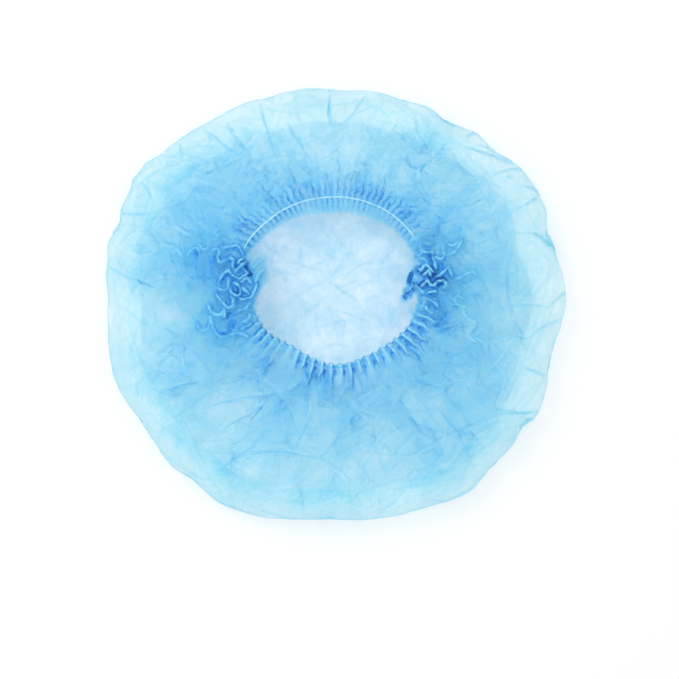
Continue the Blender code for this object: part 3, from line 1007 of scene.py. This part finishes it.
@dataclass
class LooseCloth:
    """The loose cloth of the cap: the flat crown, the outer edge and the puffed way back in.

    shaded_base_finish is that of the flat crown, which shows in the opening: a greyer copy of the
    cloth's colours, for painted shade under the puffed cloth around it. flow_stretch is below 1,
    so that the crumples run longer outwards than across.
    """

    plan: Plan
    finish: NonwovenFinish
    shaded_base_finish: NonwovenFinish
    seed: int = 11
    rings: int = 196
    base_rings: int = 130
    base_step: int = 2
    puff_noise: float = 0.0035
    flow_stretch: float = 0.5
    fade_size: float = 0.016
    crease_width: float = 0.0060
    crease_rise: float = 0.0030
    crease_dark: float = 1.9
    lit_shadow: float = 1.2
    ragged: float = 0.10
    lopsided: float = 0.045
    lopsided_at: float = 225.0
    shade_strength: float = 2.0
    valley_layers_and_shade: float = 2.0
    mottled: float = 0.32
    faceted: float = 0.95
    edge_layers: float = 1.3
    base_creases: int = 170
    base_layers: float = 1.05

    def __post_init__(self) -> None:
        """Start the random values and the creases."""
        self.draw = np.random.default_rng(self.seed)
        self.crumple = Crumple(self.seed + 1)

    def meridian(self) -> tuple[np.ndarray, np.ndarray, np.ndarray, np.ndarray, np.ndarray]:
        """The rings from the crown's edge to the elastic.

        Returns:
            For each ring: its way along the cloth in metres, whether it is on the under side, its
            share of the way along that side, and its puff and rim shares.
        """
        radius = (self.plan.width + self.plan.depth) / 4
        way = radius - (self.plan.opening_width + self.plan.opening_depth) / 4
        inset = np.array([(1 - s.share) * radius if s.under else s.share * way for s in SECTIONS])
        side = np.array([-1.0 if s.under else 1.0 for s in SECTIONS])
        puff = np.array([s.puff for s in SECTIONS])
        rim = np.array([s.rim for s in SECTIONS])
        height = puff * self.plan.puff_height + rim * (self.plan.rim_height - self.plan.puff_height)
        knots = np.concatenate([[0], np.cumsum(np.hypot(np.diff(inset * side), np.diff(height)))])
        at = knots[-1] * (1 - (1 - np.linspace(0, 1, self.rings)) ** 1.25)
        turn = knots[[s.under for s in SECTIONS].index(0)]
        inset_at = np.maximum(through(knots, inset, at), 0)
        under = at < turn
        share = np.minimum(np.where(under, 1 - inset_at / radius, inset_at / way), 1.0)
        return at, under, share, through(knots, puff, at), through(knots, rim, at)

    def smooth_form(self) -> tuple[Sheet, np.ndarray, np.ndarray, np.ndarray]:
        """The smooth form of the loose cloth, with its main folds.

        Returns:
            The sheet, each ring's share over the cap (0 under it), each point's distance from
            the elastic in plan, and its place on the cloth laid out flat.
        """
        plan = self.plan
        at, under, share, puff, rim = self.meridian()
        lap = plan.along(RIM, "lap")
        saddle = plan.along(RIM, "saddle")
        edge = plan.rim_line - plan.outwards * (plan.lap_reach * lap)[:, None]
        rise = plan.rim_height + plan.lap_lift * lap - plan.puff_height
        points = np.zeros((len(share), plan.columns, 3))
        over = np.where(under, 0.0, share)
        for index, part in enumerate(share):
            within = plan.outline_line * (1 - part) + edge * part
            points[index, :, :2] = plan.outline_line * part if under[index] else within
            points[index, :, 2] = puff[index] * plan.puff_height + rim[index] * rise
        distance = np.linalg.norm(points[:, :, :2] - plan.rim_line[None], axis=2)
        near = eased((over - 0.62) / 0.30)[:, None]
        points[:, :, 2] -= plan.saddle_depth * saddle[None] * near
        groove = (plan.elastic_radius + plan.seat_gap) * (1 - lap)[None]
        points[:, :, 2] -= groove * (1 - eased(distance / 0.005)) * (over > 0.5)[:, None]
        points[:, :, 2] += self.folds(over) * (~under)[:, None]
        middle = np.array([0, plan.opening_shift])
        rim_reach = np.linalg.norm(plan.rim_line - middle, axis=1)[None]
        laid_out = rim_reach + self.flow_stretch * (at[-1] - at)[:, None]
        flow = unit(plan.outline_line - middle)[None] * laid_out[:, :, None]
        return Sheet(points), over, distance, flow

    def folds(self, share: np.ndarray) -> np.ndarray:
        """Heights of the main folds."""
        height = np.zeros((len(share), self.plan.columns))
        for fold in FOLDS:
            run = np.clip((share - fold.start) / (fold.end - fold.start), 0, 1)[:, None]
            middle = fold.at + fold.lean * run
            off = np.abs((self.plan.angles[None] - middle + 180) % 360 - 180) / fold.spread
            shape = np.sin(math.pi * run) ** 0.7 * np.clip(1 - off, 0, 1) ** 1.2
            height += fold.rise * self.plan.puff_height * shape
        return height

    def pleats(self, distance: np.ndarray, over: np.ndarray) -> tuple[np.ndarray, ...]:
        """The pleats that the elastic draws up, and the wider folds that they run into.

        Args:
            distance: Each point's distance from the elastic.
            over: Each ring's share over the cap.

        Returns:
            Heights along the normals, how far each point leans along its ring, and how high on
            the finest pleats it lies, from -1 in a valley to 1.
        """
        plan = self.plan
        shape = distance.shape
        rise = plan.along(PLEATING, "rise")[None]
        length = plan.along(PLEATING, "length")[None]
        zigzag = plan.along(PLEATING, "zigzag")[None]
        lap = plan.along(RIM, "lap")[None]
        uneven = smooth_noise(shape, (1, plan.pleats), self.draw)
        drift = smooth_noise(shape, (5, plan.pleats // 4), self.draw)
        swing = np.abs((distance / 0.0065 + 0.5 * drift) % 2 - 1) - 0.5
        grown = eased(distance / 0.010)
        height, level = np.zeros(shape), None
        for run in RUNS:
            swung = (zigzag * swing * grown + 0.07 * uneven) / run.scale
            crest = crested(plan.phase[None] / run.scale + 0.10 * drift + swung)
            begin = eased((distance / length - run.start) / 0.5) if run.start else 1.0
            end = 1 - eased((distance / (length * run.reach * (1 + 0.65 * uneven)) - 0.35) / 0.65)
            height += run.strength * (1 + 0.45 * uneven) * rise * crest * begin * end
            level = crest if level is None else level
        pinch = 0.30 + 0.45 * lap
        pinched = (pinch + (1 - pinch) * eased(distance / 0.007)) * (over > 0.2)[:, None]
        sway = smooth_noise(shape, (2, 14), self.draw)
        height = height * pinched
        return height, height * (0.55 * np.sign(sway) * np.abs(sway) ** 0.4), level

    def crumpled(self, sheet: Sheet, flow: np.ndarray, calm: np.ndarray) -> tuple[np.ndarray, ...]:
        """The creases, dimples and soft puffs of the loose cloth.

        Args:
            sheet: The smooth form.
            flow: Its points' places on the cloth laid out flat.
            calm: For each ring, how strong its random creases are.

        Returns:
            Heights along the normals, how near each point lies to a dark crease line (more layers and
            painted shade) or to the painted shadow beside a lit crease, how near to the painted highlight
            beside a dark crease and to a crease painted as a light line, and a random value from 0 to 1
            for each facet between the creases.
        """
        shape = sheet.points.shape[:2]
        crumple = self.crumple
        large, middling, small = [crumple.facets(flow, kind) for kind in PUFF_FACETS]
        lumps = [crumple.noise(flow + shift, self.fade_size, 2) for shift in (5.1, 6.2, 7.3)]
        fade = [np.clip(lump * 1.6 + 0.55, 0, 1) for lump in lumps]
        height = 0.0085 * (large.dimple - 0.6) + 0.0045 * (middling.dimple - 0.6) * (0.3 + 0.7 * fade[1])
        height += 0.0010 * (small.dimple - 0.6) * fade[2]
        line = np.zeros(shape)
        for cells, width, strength in ((large, 0.0011, 0.45 * fade[0]), (middling, 0.0009, 0.25 * fade[1])):
            near = np.exp(-((cells.edge / width) ** 2)) * strength
            line = np.maximum(line, near)
            height += 0.0012 * near
        points = sheet.points.reshape(-1, 3)
        glint, lit = np.zeros(shape), np.zeros(shape)
        laid = [self.crease_lines(sheet, kind.count, kind.lengths, kind.turn) for kind in STROKES]
        for (starts, ends), kind in zip(laid, STROKES):
            strokes = crumple.creases(points, starts, ends, kind.width)
            raised, sharp, light = [part.reshape(shape) for part in strokes]
            height += kind.rise * raised
            line = np.maximum(line, kind.strength * sharp)
            glint = np.maximum(glint, kind.strength * light)
        height, line, glint = height * calm, line * calm, glint * calm
        # The listed creases: a dark one is a line of more layers and painted shade with a painted highlight
        # beside it, a lit one a painted highlight line with a painted shadow beside it.
        for stands in (False, True):
            ends = self.known_creases(sheet, stands)
            strokes = crumple.creases(points, *ends, self.crease_width, even=True)
            raised, sharp, light = [part.reshape(shape) for part in strokes]
            height += self.crease_rise * raised
            line = np.maximum(line, self.lit_shadow * light if stands else self.crease_dark * sharp)
            glint = np.maximum(glint, light * (not stands))
            lit = np.maximum(lit, sharp * stands)
        height += self.puff_noise * smooth_noise(shape, (7, 26), self.draw)
        return height, line, glint, lit, 0.6 * large.patch + 0.4 * middling.patch

    def crease_lines(
        self, sheet: Sheet, count: int, lengths: tuple[float, float], turn: float
    ) -> tuple[np.ndarray, np.ndarray]:
        """Ends of random creases that lie on the sheet.

        Args:
            sheet: The sheet.
            count: How many creases.
            lengths: Least and greatest length, as shares of the rings.
            turn: How far they turn from the spokes, as a share of their length.

        Returns:
            The starts and the ends, one a row.
        """
        rings, columns = sheet.points.shape[:2]
        draw = self.draw
        ring = draw.uniform(0.0, 0.80, count) * rings
        column = draw.uniform(0, columns, count)
        run = draw.uniform(*lengths, count) * rings
        sideways = draw.normal(0, turn, count) * run * 1.4
        far_ring = np.clip(ring + run * draw.choice([-1, 1], count), 0, rings - 8)
        starts = sheet.points[ring.astype(int), column.astype(int) % columns]
        ends = sheet.points[far_ring.astype(int), (column + sideways).astype(int) % columns]
        return starts, ends

    def known_creases(self, sheet: Sheet, lit: bool) -> tuple[np.ndarray, np.ndarray]:
        """Ends of the table's creases, on the upper side of the sheet.

        Args:
            sheet: The sheet.
            lit: Which of them: those that are light lines, or the others.

        Returns:
            The starts and the ends, one a row.
        """
        upper = sheet.points[self.rings // 6 :].reshape(-1, 3)
        half = np.array([self.plan.width, self.plan.depth]) / 2
        ends = []
        for side in ("start", "end"):
            turn, reach = np.array([getattr(crease, side) for crease in CREASES if crease.lit == lit]).T
            turn = np.radians(turn)
            places = np.stack([np.cos(turn), np.sin(turn)], axis=-1) * reach[:, None] * half
            ends.append([upper[np.linalg.norm(upper[:, :2] - at, axis=1).argmin()] for at in places])
        return np.array(ends[0]), np.array(ends[1])

    def layered(
        self,
        sheet: Sheet,
        distance: np.ndarray,
        flow: np.ndarray,
        level: np.ndarray,
        patch: np.ndarray,
        calm: np.ndarray,
    ) -> np.ndarray:
        """How many layers of cloth lie on each other at each point, with painted shade in pleat valleys.

        Args:
            sheet: The smooth form.
            distance: Each point's distance from the elastic.
            flow: Its place on the cloth laid out flat.
            level: How high on a pleat it lies.
            patch: A random value for its facet.
            calm: For each ring, how much its facets differ.

        Returns:
            The layers.
        """
        plan = self.plan
        middle = np.array([0.0, plan.opening_shift * 0.4])
        reach = np.linalg.norm(sheet.points[:, :, :2] - middle, axis=2)
        reach = reach / np.linalg.norm(plan.outline_line - middle, axis=1)[None]
        ragged = self.ragged * (patch - 0.5) + 0.02 * self.crumple.noise(flow + 8.1, 0.012, 3)
        side = np.cos(np.radians(plan.angles - self.lopsided_at))[None]
        lopsided = self.lopsided * side * eased((reach - 0.7) / 0.15)
        at, layers = np.array(LAYERS).T
        total = np.interp(reach + ragged - lopsided, at, layers)
        for shade in SHADES:
            spot = plan.outline(np.array([shade.at]))[0] - middle
            off = np.linalg.norm(sheet.points[:, :, :2] - middle - spot * shade.reach, axis=2)
            soft = 1 - eased((off / shade.size + 5 * ragged - 0.3) / 0.9)
            total = total * (1 + self.shade_strength * shade.depth * soft)
        # Painted shade and more layers in the pleats' valleys near the elastic, and a little painted
        # highlight on their crests; where the cloth laps over the elastic, a band of painted shade lies in
        # the valleys a little way out.
        length = plan.along(PLEATING, "length")[None]
        broken = np.clip(0.85 + 0.4 * self.crumple.noise(flow + 3.9, 0.007, 2), 0.4, 1.3)
        pleated = 1.3 * np.minimum(length, 0.030)
        near = (1 - eased((distance / pleated - 0.25) / 0.75)) * broken
        lap = plan.along(RIM, "lap")[None]
        valley = np.clip(-level, 0, 1) ** (3 + lap)
        total = total * (1 + near * ((self.valley_layers_and_shade - 1.0 * lap) * valley - 0.15))
        seam = lap * np.exp(-(((distance - 0.006) / 0.004) ** 2))
        total = total * (1 + 1.3 * seam * valley)
        mottle = self.mottled * self.crumple.noise(flow + 9.4, 0.007, 3) + self.faceted * (patch - 0.5)
        return total * (1 + calm * mottle)

    def build_puff(self) -> list[bpy.types.Object]:
        """The outer edge and the puffed upper side: one sheet, cut in two for its size.

        Returns:
            The outer and the inner object.
        """
        sheet, over, distance, flow = self.smooth_form()
        normals = sheet.normals()
        turned, _ = sheet.tangents()
        height, lean, level = self.pleats(distance, over)
        start = np.arange(self.rings)[:, None]
        widest = int((over == 0).sum())
        calm = (0.55 + 0.45 * eased(over / 0.28))[:, None]
        crumple, line, glint, lit, patch = self.crumpled(sheet, flow, calm)
        loose = eased(start / 20) * (0.15 + 0.85 * eased(distance / 0.03))
        height = height + crumple * loose * (0.25 + 0.75 * np.abs(normals[:, :, 2]))
        self.edge_ring = sheet.points[0].copy()
        sheet.layers = self.layered(sheet, distance, flow, level, patch, calm)
        near = 1 - eased(distance / np.minimum(self.plan.along(PLEATING, "length")[None], 0.026))
        lap = self.plan.along(RIM, "lap")[None]
        # A painted highlight along the pleats' crests near the elastic.
        sheet.crest = np.clip(level, 0, 1) ** (2.4 - 1.5 * lap) * near * (0.55 + 0.45 * lap)
        sheet.points = sheet.points + normals * height[:, :, None] + turned * lean[:, :, None]
        sheet.points[:, :, 2] = above(sheet.points[:, :, 2])
        sheet.thicken_slopes()
        most = 10 + 5 * lap
        sheet.layers = most * np.tanh(sheet.layers / most)
        # Dark lines of more layers and painted shade along the creases and facet edges, with painted
        # highlights beside them and on the lit creases.
        sheet.layers = sheet.layers * (1 - 0.35 * np.clip(glint, 0, 1.2) * loose) + 1.5 * line * loose
        sheet.layers = sheet.layers + self.edge_layers * np.exp(-(((start - widest) / 2.5) ** 2))
        sheet.crest = np.maximum(sheet.crest, lit * loose)
        self.rim_ring = sheet.points[-1].copy()
        self.rim_layers = sheet.layers[-1].copy()
        self.rim_highlight = sheet.crest[-1].copy()
        half = self.rings // 2
        material = self.finish.material()
        outer = sheet.build("crown_puff", material, slice(None, half + 1))
        return [outer, sheet.build("crown_gathers", material, slice(half, None))]

    def build_base(self) -> bpy.types.Object:
        """The flat crown that the cap lies on.

        Returns:
            The object.
        """
        share = 1 - np.linspace(0, 1, self.base_rings) ** 0.62 * 0.997
        ring = self.edge_ring[:: self.base_step]
        points = np.zeros((self.base_rings, len(ring), 3))
        points[:, :, :2] = ring[None, :, :2] * share[:, None, None]
        sheet = Sheet(points)
        crumple, flat = self.crumple, points[:, :, :2]
        large, small = [crumple.facets(flat, kind) for kind in BASE_FACETS]
        height = 0.0030 * (large.dimple - 0.6) + 0.0013 * (small.dimple - 0.6)
        draw = self.draw
        count, level = self.base_creases, np.zeros(self.base_creases)
        spread = (draw.uniform(-0.16, 0.16, count), draw.uniform(-0.14, 0.16, count), level)
        starts = np.stack(spread, axis=1)
        run = np.stack([draw.normal(0, 0.026, count), draw.normal(0, 0.014, count), level], axis=1)
        raised, line, _ = crumple.creases(points.reshape(-1, 3), starts, starts + run, 0.006)
        height += 0.0013 * raised.reshape(height.shape)
        line = np.maximum(line.reshape(height.shape), 0.3 * np.exp(-((large.edge / 0.0014) ** 2)))
        loose = eased(np.arange(self.base_rings) / 10)[:, None]
        shaped = height * loose
        sheet.points[:, :, 2] = above(ring[None, :, 2] * (1 - loose) + 0.0016 * loose + shaped)
        mottle = 0.45 * crumple.noise(flat + 4.2, 0.026, 4) + 0.20 * crumple.noise(flat + 6.4, 0.006, 2)
        mottle += 0.25 * (large.patch - 0.5) + 0.30 * (small.patch - 0.5)
        sheet.layers = self.base_layers * (1 + mottle)
        sheet.thicken_slopes()
        # Dark lines of more layers and painted shade along the base's creases and facet edges.
        sheet.layers = sheet.layers + 0.9 * line
        return sheet.build("crown_base", self.shaded_base_finish.material())


@dataclass
class HemFrill:
    """The pleated edge of the cloth inside the elastic, which goes on from the loose cloth's last ring."""

    loose: LooseCloth
    finish: NonwovenFinish
    rings: int = 15
    seed: int = 23

    def build(self) -> bpy.types.Object:
        """The frill, from the ring that the loose cloth ends in.

        Returns:
            The object.
        """
        plan = self.loose.plan
        draw = np.random.default_rng(self.seed)
        share = np.linspace(0, 1, self.rings)[:, None]
        inwards = plan.along(RIM, "inwards")[None] * plan.hem_width * share
        down = plan.along(RIM, "down")[None] * plan.hem_width * share
        lap = plan.along(RIM, "lap")[None]
        level = (plan.elastic_height(plan.angles) - plan.elastic_radius - plan.seat_gap)[None]
        points = np.zeros((self.rings, plan.columns, 3))
        past = plan.lap_reach * lap
        points[:, :, :2] = plan.rim_line[None] - plan.outwards[None] * (inwards + past)[:, :, None]
        points[:, :, 2] = level - down + (plan.lap_lift + 2 * plan.elastic_radius) * lap * (1 - share)
        sheet = Sheet(points)
        normals = sheet.normals()
        turned, _ = sheet.tangents()
        uneven = smooth_noise((self.rings, plan.columns), (1, plan.pleats), draw)
        drift = smooth_noise((self.rings, plan.columns), (3, plan.pleats // 4), draw)
        crest = crested(plan.phase[None] + 0.10 * drift * share + 0.07 * uneven)
        rise = plan.along(PLEATING, "rise")[None] * (0.30 + 0.08 * share) * (1 + 0.3 * uneven)
        height = rise * crest
        joined = 1 - eased(share / 0.22)
        ring = self.loose.rim_ring[None] - sheet.points[:1]
        moved = sheet.points + normals * height[:, :, None] + turned * (0.35 * height)[:, :, None]
        sheet.points = moved * (1 - joined[:, :, None]) + (sheet.points + ring) * joined[:, :, None]
        # More layers and painted shade in the frill's pleat valleys, less towards its inner edge.
        valley = np.clip(-crest, 0, 1) ** 3
        sheet.layers = 2.8 + 4.5 * valley * (1 - 0.75 * share) * (1 + 0.8 * uneven)
        sheet.layers = sheet.layers + 1.5 * (1 - eased(share / 0.2))
        sheet.layers = sheet.layers * (1 - 0.55 * eased((share - 0.6) / 0.4))
        sheet.thicken_slopes()
        sheet.layers = self.loose.rim_layers[None] * joined + (1 - joined) * sheet.layers
        # A painted highlight on the frill's pleat crests, joined to the loose cloth's painted highlights at
        # its last ring.
        light = np.clip(crest, 0, 1) ** 3 * (0.25 + 0.75 * lap)
        sheet.crest = self.loose.rim_highlight[None] * joined + (1 - joined) * light
        return sheet.build("hem_frill", self.finish.material())


@dataclass
class ElasticCord:
    """The thin elastic, lying in the pinched seam."""

    plan: Plan
    finish: ElasticFinish
    sides: int = 8
    steps: int = 480

    def build(self) -> bpy.types.Object:
        """The cord, a closed tube along the rim.

        Returns:
            The object.
        """
        plan = self.plan
        degrees = np.linspace(0, 360, self.steps, endpoint=False)
        line = np.zeros((self.steps, 3))
        line[:, :2] = plan.rim(degrees)
        line[:, 2] = plan.elastic_height(degrees)
        outwards = np.zeros((self.steps, 3))
        outwards[:, :2] = plan.rim_outwards(degrees)
        draw = np.random.default_rng(3)
        radius = plan.elastic_radius * (0.78 + 0.24 * smooth_noise((1, self.steps), (1, 110), draw)[0])
        turn = np.linspace(0, 2 * math.pi, self.sides, endpoint=False)[:, None, None]
        up = np.array([0, 0, 1.0])
        points = line[None] + radius[None, :, None] * (np.cos(turn) * outwards[None] + np.sin(turn) * up)
        points = np.concatenate([points, points[:1]])
        return Sheet(points).build("elastic_cord", self.finish.material())


class End(Enum):
    """The two ends of the pleated strip: the angle of the opening that each one is at."""

    LEFT = 180.0
    RIGHT = 0.0


@dataclass
class Gathers:
    """Cloth bunched up where the strip ends: upright folds along the crests of a table.

    lift is how high the cloth between the folds lies above the elastic, fringe how softly its
    edge thins out, inwards how fast it falls into the opening, and outwards how fast it falls
    out over the cap.
    """

    plan: Plan
    finish: NonwovenFinish
    name: str
    end: End
    ridges: Sequence[Ridge]
    lift: float
    seed: int
    fringe: float
    fold_width: float = 0.0060
    crest_width: float = 0.0014
    hollow_width: float = 0.0038
    hollow_shift: float = 1.8
    spacing: float = 0.0007
    margin: float = 0.012
    inwards: float = 0.33
    outwards: float = 0.10

    def crest_line(self, ridge: Ridge) -> np.ndarray:
        """Points along a ridge's crest in metres, close together.

        Args:
            ridge: The ridge.

        Returns:
            The points, one a row.
        """
        knots = np.array(ridge.points) / 1000
        ways = np.concatenate([[0], np.cumsum(np.linalg.norm(np.diff(knots, axis=0), axis=1))])
        at = np.arange(0, ways[-1], 0.0005)
        curved = np.stack([through(ways, knots[:, axis], at) for axis in (0, 1)], axis=-1)
        straight = np.stack([np.interp(at, ways, knots[:, axis]) for axis in (0, 1)], axis=-1)
        return (curved + 2 * straight) / 3

    def hollow_line(self, line: np.ndarray, reach: int = 9) -> np.ndarray:
        """Points on the inner side of a crest's bends.

        Args:
            line: Points along the crest.
            reach: How many points on each side tell where a bend's inner side is.

        Returns:
            The points, one a row.
        """
        padded = np.pad(line, ((reach, reach), (0, 0)), mode="edge")
        window = np.ones(2 * reach + 1) / (2 * reach + 1)
        smooth = np.stack([np.convolve(padded[:, axis], window, "valid") for axis in (0, 1)], axis=-1)
        return line + self.hollow_shift * (smooth - line)

    def bed(self, flat: np.ndarray) -> np.ndarray:
        """Heights of the cloth between the folds.

        Args:
            flat: Places in plan.

        Returns:
            A height for each place.
        """
        degrees = self.end.value + np.arange(-60.0, 60.0, 1.5)
        rim, square = self.plan.rim(degrees), self.plan.rim_outwards(degrees)
        apart = np.linalg.norm(flat[:, :, None] - rim, axis=-1)
        nearest = apart.argmin(axis=-1)
        side = ((flat - rim[nearest]) * square[nearest]).sum(axis=-1)
        level = self.plan.elastic_height(degrees) + self.plan.lap_lift * around(RIM, degrees, "lap")
        level = np.minimum(level, level.min() + 0.008)[nearest] + self.lift
        return level + self.inwards * np.minimum(side, 0) - self.outwards * np.maximum(side - 0.022, 0)

    def build(self) -> bpy.types.Object:
        """The bunched cloth.

        Returns:
            The object.
        """
        lines = [self.crest_line(ridge) for ridge in self.ridges]
        every = np.concatenate(lines)
        low, high = every.min(axis=0) - self.margin, every.max(axis=0) + self.margin
        sides = [np.arange(low[axis], high[axis], self.spacing) for axis in (0, 1)]
        flat = np.stack(np.meshgrid(*sides), axis=-1)
        crumple = Crumple(self.seed, 48)
        at = crumple.bent(crumple.bent(flat, 0.007, 0.0012), 0.003, 0.0005)
        shape = flat.shape[:2]
        glow = np.clip(0.78 + 0.5 * crumple.noise(flat + 2.1, 0.005, 2), 0.3, 1.0)
        rise, crest, depth, gap = np.zeros(shape), np.zeros(shape), np.zeros(shape), np.full(shape, 1.0)
        for ridge, line in zip(self.ridges, lines):
            apart = np.linalg.norm(at[:, :, None] - line, axis=-1)
            part = apart.argmin(axis=-1) / (len(line) - 1)
            apart = apart.min(axis=-1)
            taper = np.clip(5 * np.minimum(part, 1 - part) + 0.25, 0, 1)
            flank = np.clip(1 - (np.hypot(apart, 0.0008) - 0.0008) / self.fold_width, 0, 1) ** 1.3
            rise = np.maximum(rise, ridge.height / 1000 * taper * flank)
            # A painted highlight along each crest, uneven with the glow noise.
            light = taper * glow * min(ridge.height / 8, 1)
            crest = np.maximum(crest, light * np.exp(-((apart / self.crest_width) ** 2)))
            # More layers and painted shade on the inner side of each crest's bends.
            hollow = np.linalg.norm(at[:, :, None] - self.hollow_line(line), axis=-1).min(axis=-1)
            depth = np.maximum(depth, ridge.depth * np.exp(-((hollow / self.hollow_width) ** 2)))
            gap = np.minimum(gap, apart)
        rough = crumple.noise(flat, 0.006, 3)
        fade = 1 - eased((gap - 0.003 + 0.002 * rough) / self.fringe)
        height = self.bed(flat) + rise * (1 + 0.12 * rough) + 0.0006 * rough
        sheet = Sheet(np.concatenate([flat, height[:, :, None]], axis=-1), closed=False)
        sheet.layers = fade * (1.7 + 7.5 * depth * (1 + 0.4 * rough) * (1 - crest))
        sheet.thicken_slopes(1.6)
        sheet.crest = crest * fade
        sheet.layers = sheet.layers + 3.0 * sheet.crest
        return sheet.build(self.name, self.finish.material())


@dataclass
class Studio:
    """The camera, the light and the pale floor."""

    elevation: float = 84.0
    distance: float = 2.3
    target: tuple[float, float, float] = (0.004, -0.044, 0.020)
    frame_width: float = 0.784
    floor_size: float = 8.0

    def build(self) -> None:
        """Place the camera, the lights, the world and the floor."""
        self.add_camera()
        self.add_floor()
        self.add_light("key", (-1.1, 0.9, 1.7), 1.2, 10.0)
        self.add_light("top", (0.1, -0.2, 2.4), 1.6, 14.0)
        world = bpy.data.worlds.new("studio")
        bpy.context.scene.world = world
        world.use_nodes = True
        world.node_tree.nodes["Background"].inputs["Color"].default_value = (1, 1, 1, 1)
        world.node_tree.nodes["Background"].inputs["Strength"].default_value = 0.74
        scene = bpy.context.scene
        scene.view_settings.view_transform = "Standard"
        scene.cycles.transparent_max_bounces = 48
        scene.cycles.max_bounces = 7
        scene.cycles.diffuse_bounces = 5
        scene.cycles.transmission_bounces = 5
        scene.cycles.use_denoising = True
        scene.cycles.denoising_input_passes = "RGB"

    def add_camera(self) -> None:
        """The camera, seen from nearly straight above."""
        rise = math.radians(self.elevation)
        target = Vector(self.target)
        offset = Vector((0, -math.cos(rise), math.sin(rise))) * self.distance
        data = bpy.data.cameras.new("camera")
        data.sensor_fit = "HORIZONTAL"
        data.sensor_width = 36.0
        data.lens = data.sensor_width / 2 / (self.frame_width / 2 / self.distance)
        camera = bpy.data.objects.new("camera", data)
        camera.location = target + offset
        camera.rotation_euler = (target - camera.location).to_track_quat("-Z", "Y").to_euler()
        bpy.context.scene.collection.objects.link(camera)
        bpy.context.scene.camera = camera

    def add_floor(self) -> None:
        """The floor, a plain square."""
        half = self.floor_size / 2
        mesh = bpy.data.meshes.new("floor")
        corners = [(-half, -half, 0), (half, -half, 0), (half, half, 0), (-half, half, 0)]
        mesh.from_pydata(corners, [], [(0, 1, 2, 3)])
        mesh.materials.append(FloorFinish("floor").material())
        floor = bpy.data.objects.new("floor", mesh)
        bpy.context.scene.collection.objects.link(floor)

    def add_light(self, name: str, place: tuple[float, float, float], size: float, power: float) -> None:
        """A soft square light that faces the cap.

        Args:
            name: The light's name.
            place: Where it hangs.
            size: Its width.
            power: Its power in watts.
        """
        data = bpy.data.lights.new(name, "AREA")
        data.size = size
        data.energy = power
        light = bpy.data.objects.new(name, data)
        light.location = place
        light.rotation_euler = (-Vector(place)).to_track_quat("-Z", "Y").to_euler()
        bpy.context.scene.collection.objects.link(light)


class Held(Enum):
    """What keeps a sheet in its form."""

    GATHERED = "gathered"
    LAID = "laid"
    FOLDED = "folded"


@dataclass(frozen=True)
class Cut:
    """The flat cut of a piece of cloth.

    width and length are in metres, and share is how much of their rectangle the cut fills.
    """

    width: float
    length: float
    held: Held
    share: float = 1.0

    def declare(self, piece: bpy.types.Object) -> None:
        """Does nothing with a piece of this cut.

        Args:
            piece: The piece; not used.
        """


def dress(piece: bpy.types.Object, node: str, slot: str, cut: Optional[Cut]) -> None:
    """Let a piece stand for a node of the solid model.

    Args:
        piece: The piece.
        node: The node that it replaces.
        slot: The name of a material slot; not used.
        cut: Its flat cut, where it is a sheet of cloth.
    """
    if cut:
        cut.declare(piece)
    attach(piece, "root")
    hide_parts(node)
    LOG.info("%s: %d faces, %.4f square metres", piece.name, len(piece.data.polygons), cloth_area(piece))


def main() -> None:
    """Build the cap's pieces in order, and the studio that they lie in."""
    logging.basicConfig(level=logging.INFO, format="%(name)s %(message)s")
    Studio().build()
    plan = Plan()
    LOG.info("%d pleats, %d columns", plan.pleats, plan.columns)
    cloth = NonwovenFinish("nonwoven")
    # A greyer, shaded copy of the cloth for the flat crown in the opening: painted shade from the puffed
    # cloth around it.
    shaded = NonwovenFinish(
        "nonwoven_crown_shaded", ((0.33, 0.64, 0.82, 1.0), (0.28, 0.59, 0.87, 1.0)), (0.5, 3.0)
    )
    loose = LooseCloth(plan, cloth, shaded)
    puff, gathers = loose.build_puff()
    base = loose.build_base()
    hem = HemFrill(loose, cloth).build()
    elastic = ElasticCord(plan, ElasticFinish("elastic")).build()
    left_folds, right_folds, left_tail, right_tail = [
        Gathers(plan, cloth, name, end, ridges, lift, seed, fringe).build()
        for name, end, ridges, lift, seed, fringe in (
            ("end_folds_left_cloth", End.LEFT, LEFT_FOLDS, 0.0035, 5, 0.010),
            ("end_folds_right_cloth", End.RIGHT, RIGHT_FOLDS, 0.0035, 6, 0.010),
            ("end_tail_left_cloth", End.LEFT, LEFT_TAIL, 0.0028, 7, 0.003),
            ("end_tail_right_cloth", End.RIGHT, RIGHT_TAIL, 0.0028, 8, 0.003),
        )
    ]
    for piece, node, slot, cut in (
        (puff, "crown", "crown_cloth", Cut(1.62, 0.132, Held.GATHERED)),
        (gathers, "crown", "crown_cloth", Cut(1.05, 0.104, Held.GATHERED)),
        (base, "crown", "crown_cloth", Cut(0.46, 0.44, Held.LAID, math.pi / 4)),
        (hem, "hem", "hem_cloth", Cut(0.70, 0.020, Held.GATHERED)),
        (elastic, "elastic", "elastic_cord", None),
        (left_folds, "end_folds_left", "end_folds_cloth", Cut(0.14, 0.11, Held.GATHERED)),
        (right_folds, "end_folds_right", "end_folds_cloth", Cut(0.11, 0.10, Held.GATHERED)),
        (left_tail, "end_tail_left", "end_tails_cloth", Cut(0.043, 0.030, Held.FOLDED)),
        (right_tail, "end_tail_right", "end_tails_cloth", Cut(0.032, 0.026, Held.FOLDED)),
    ):
        dress(piece, node, slot, cut)


if __name__ == "__main__":
    main()
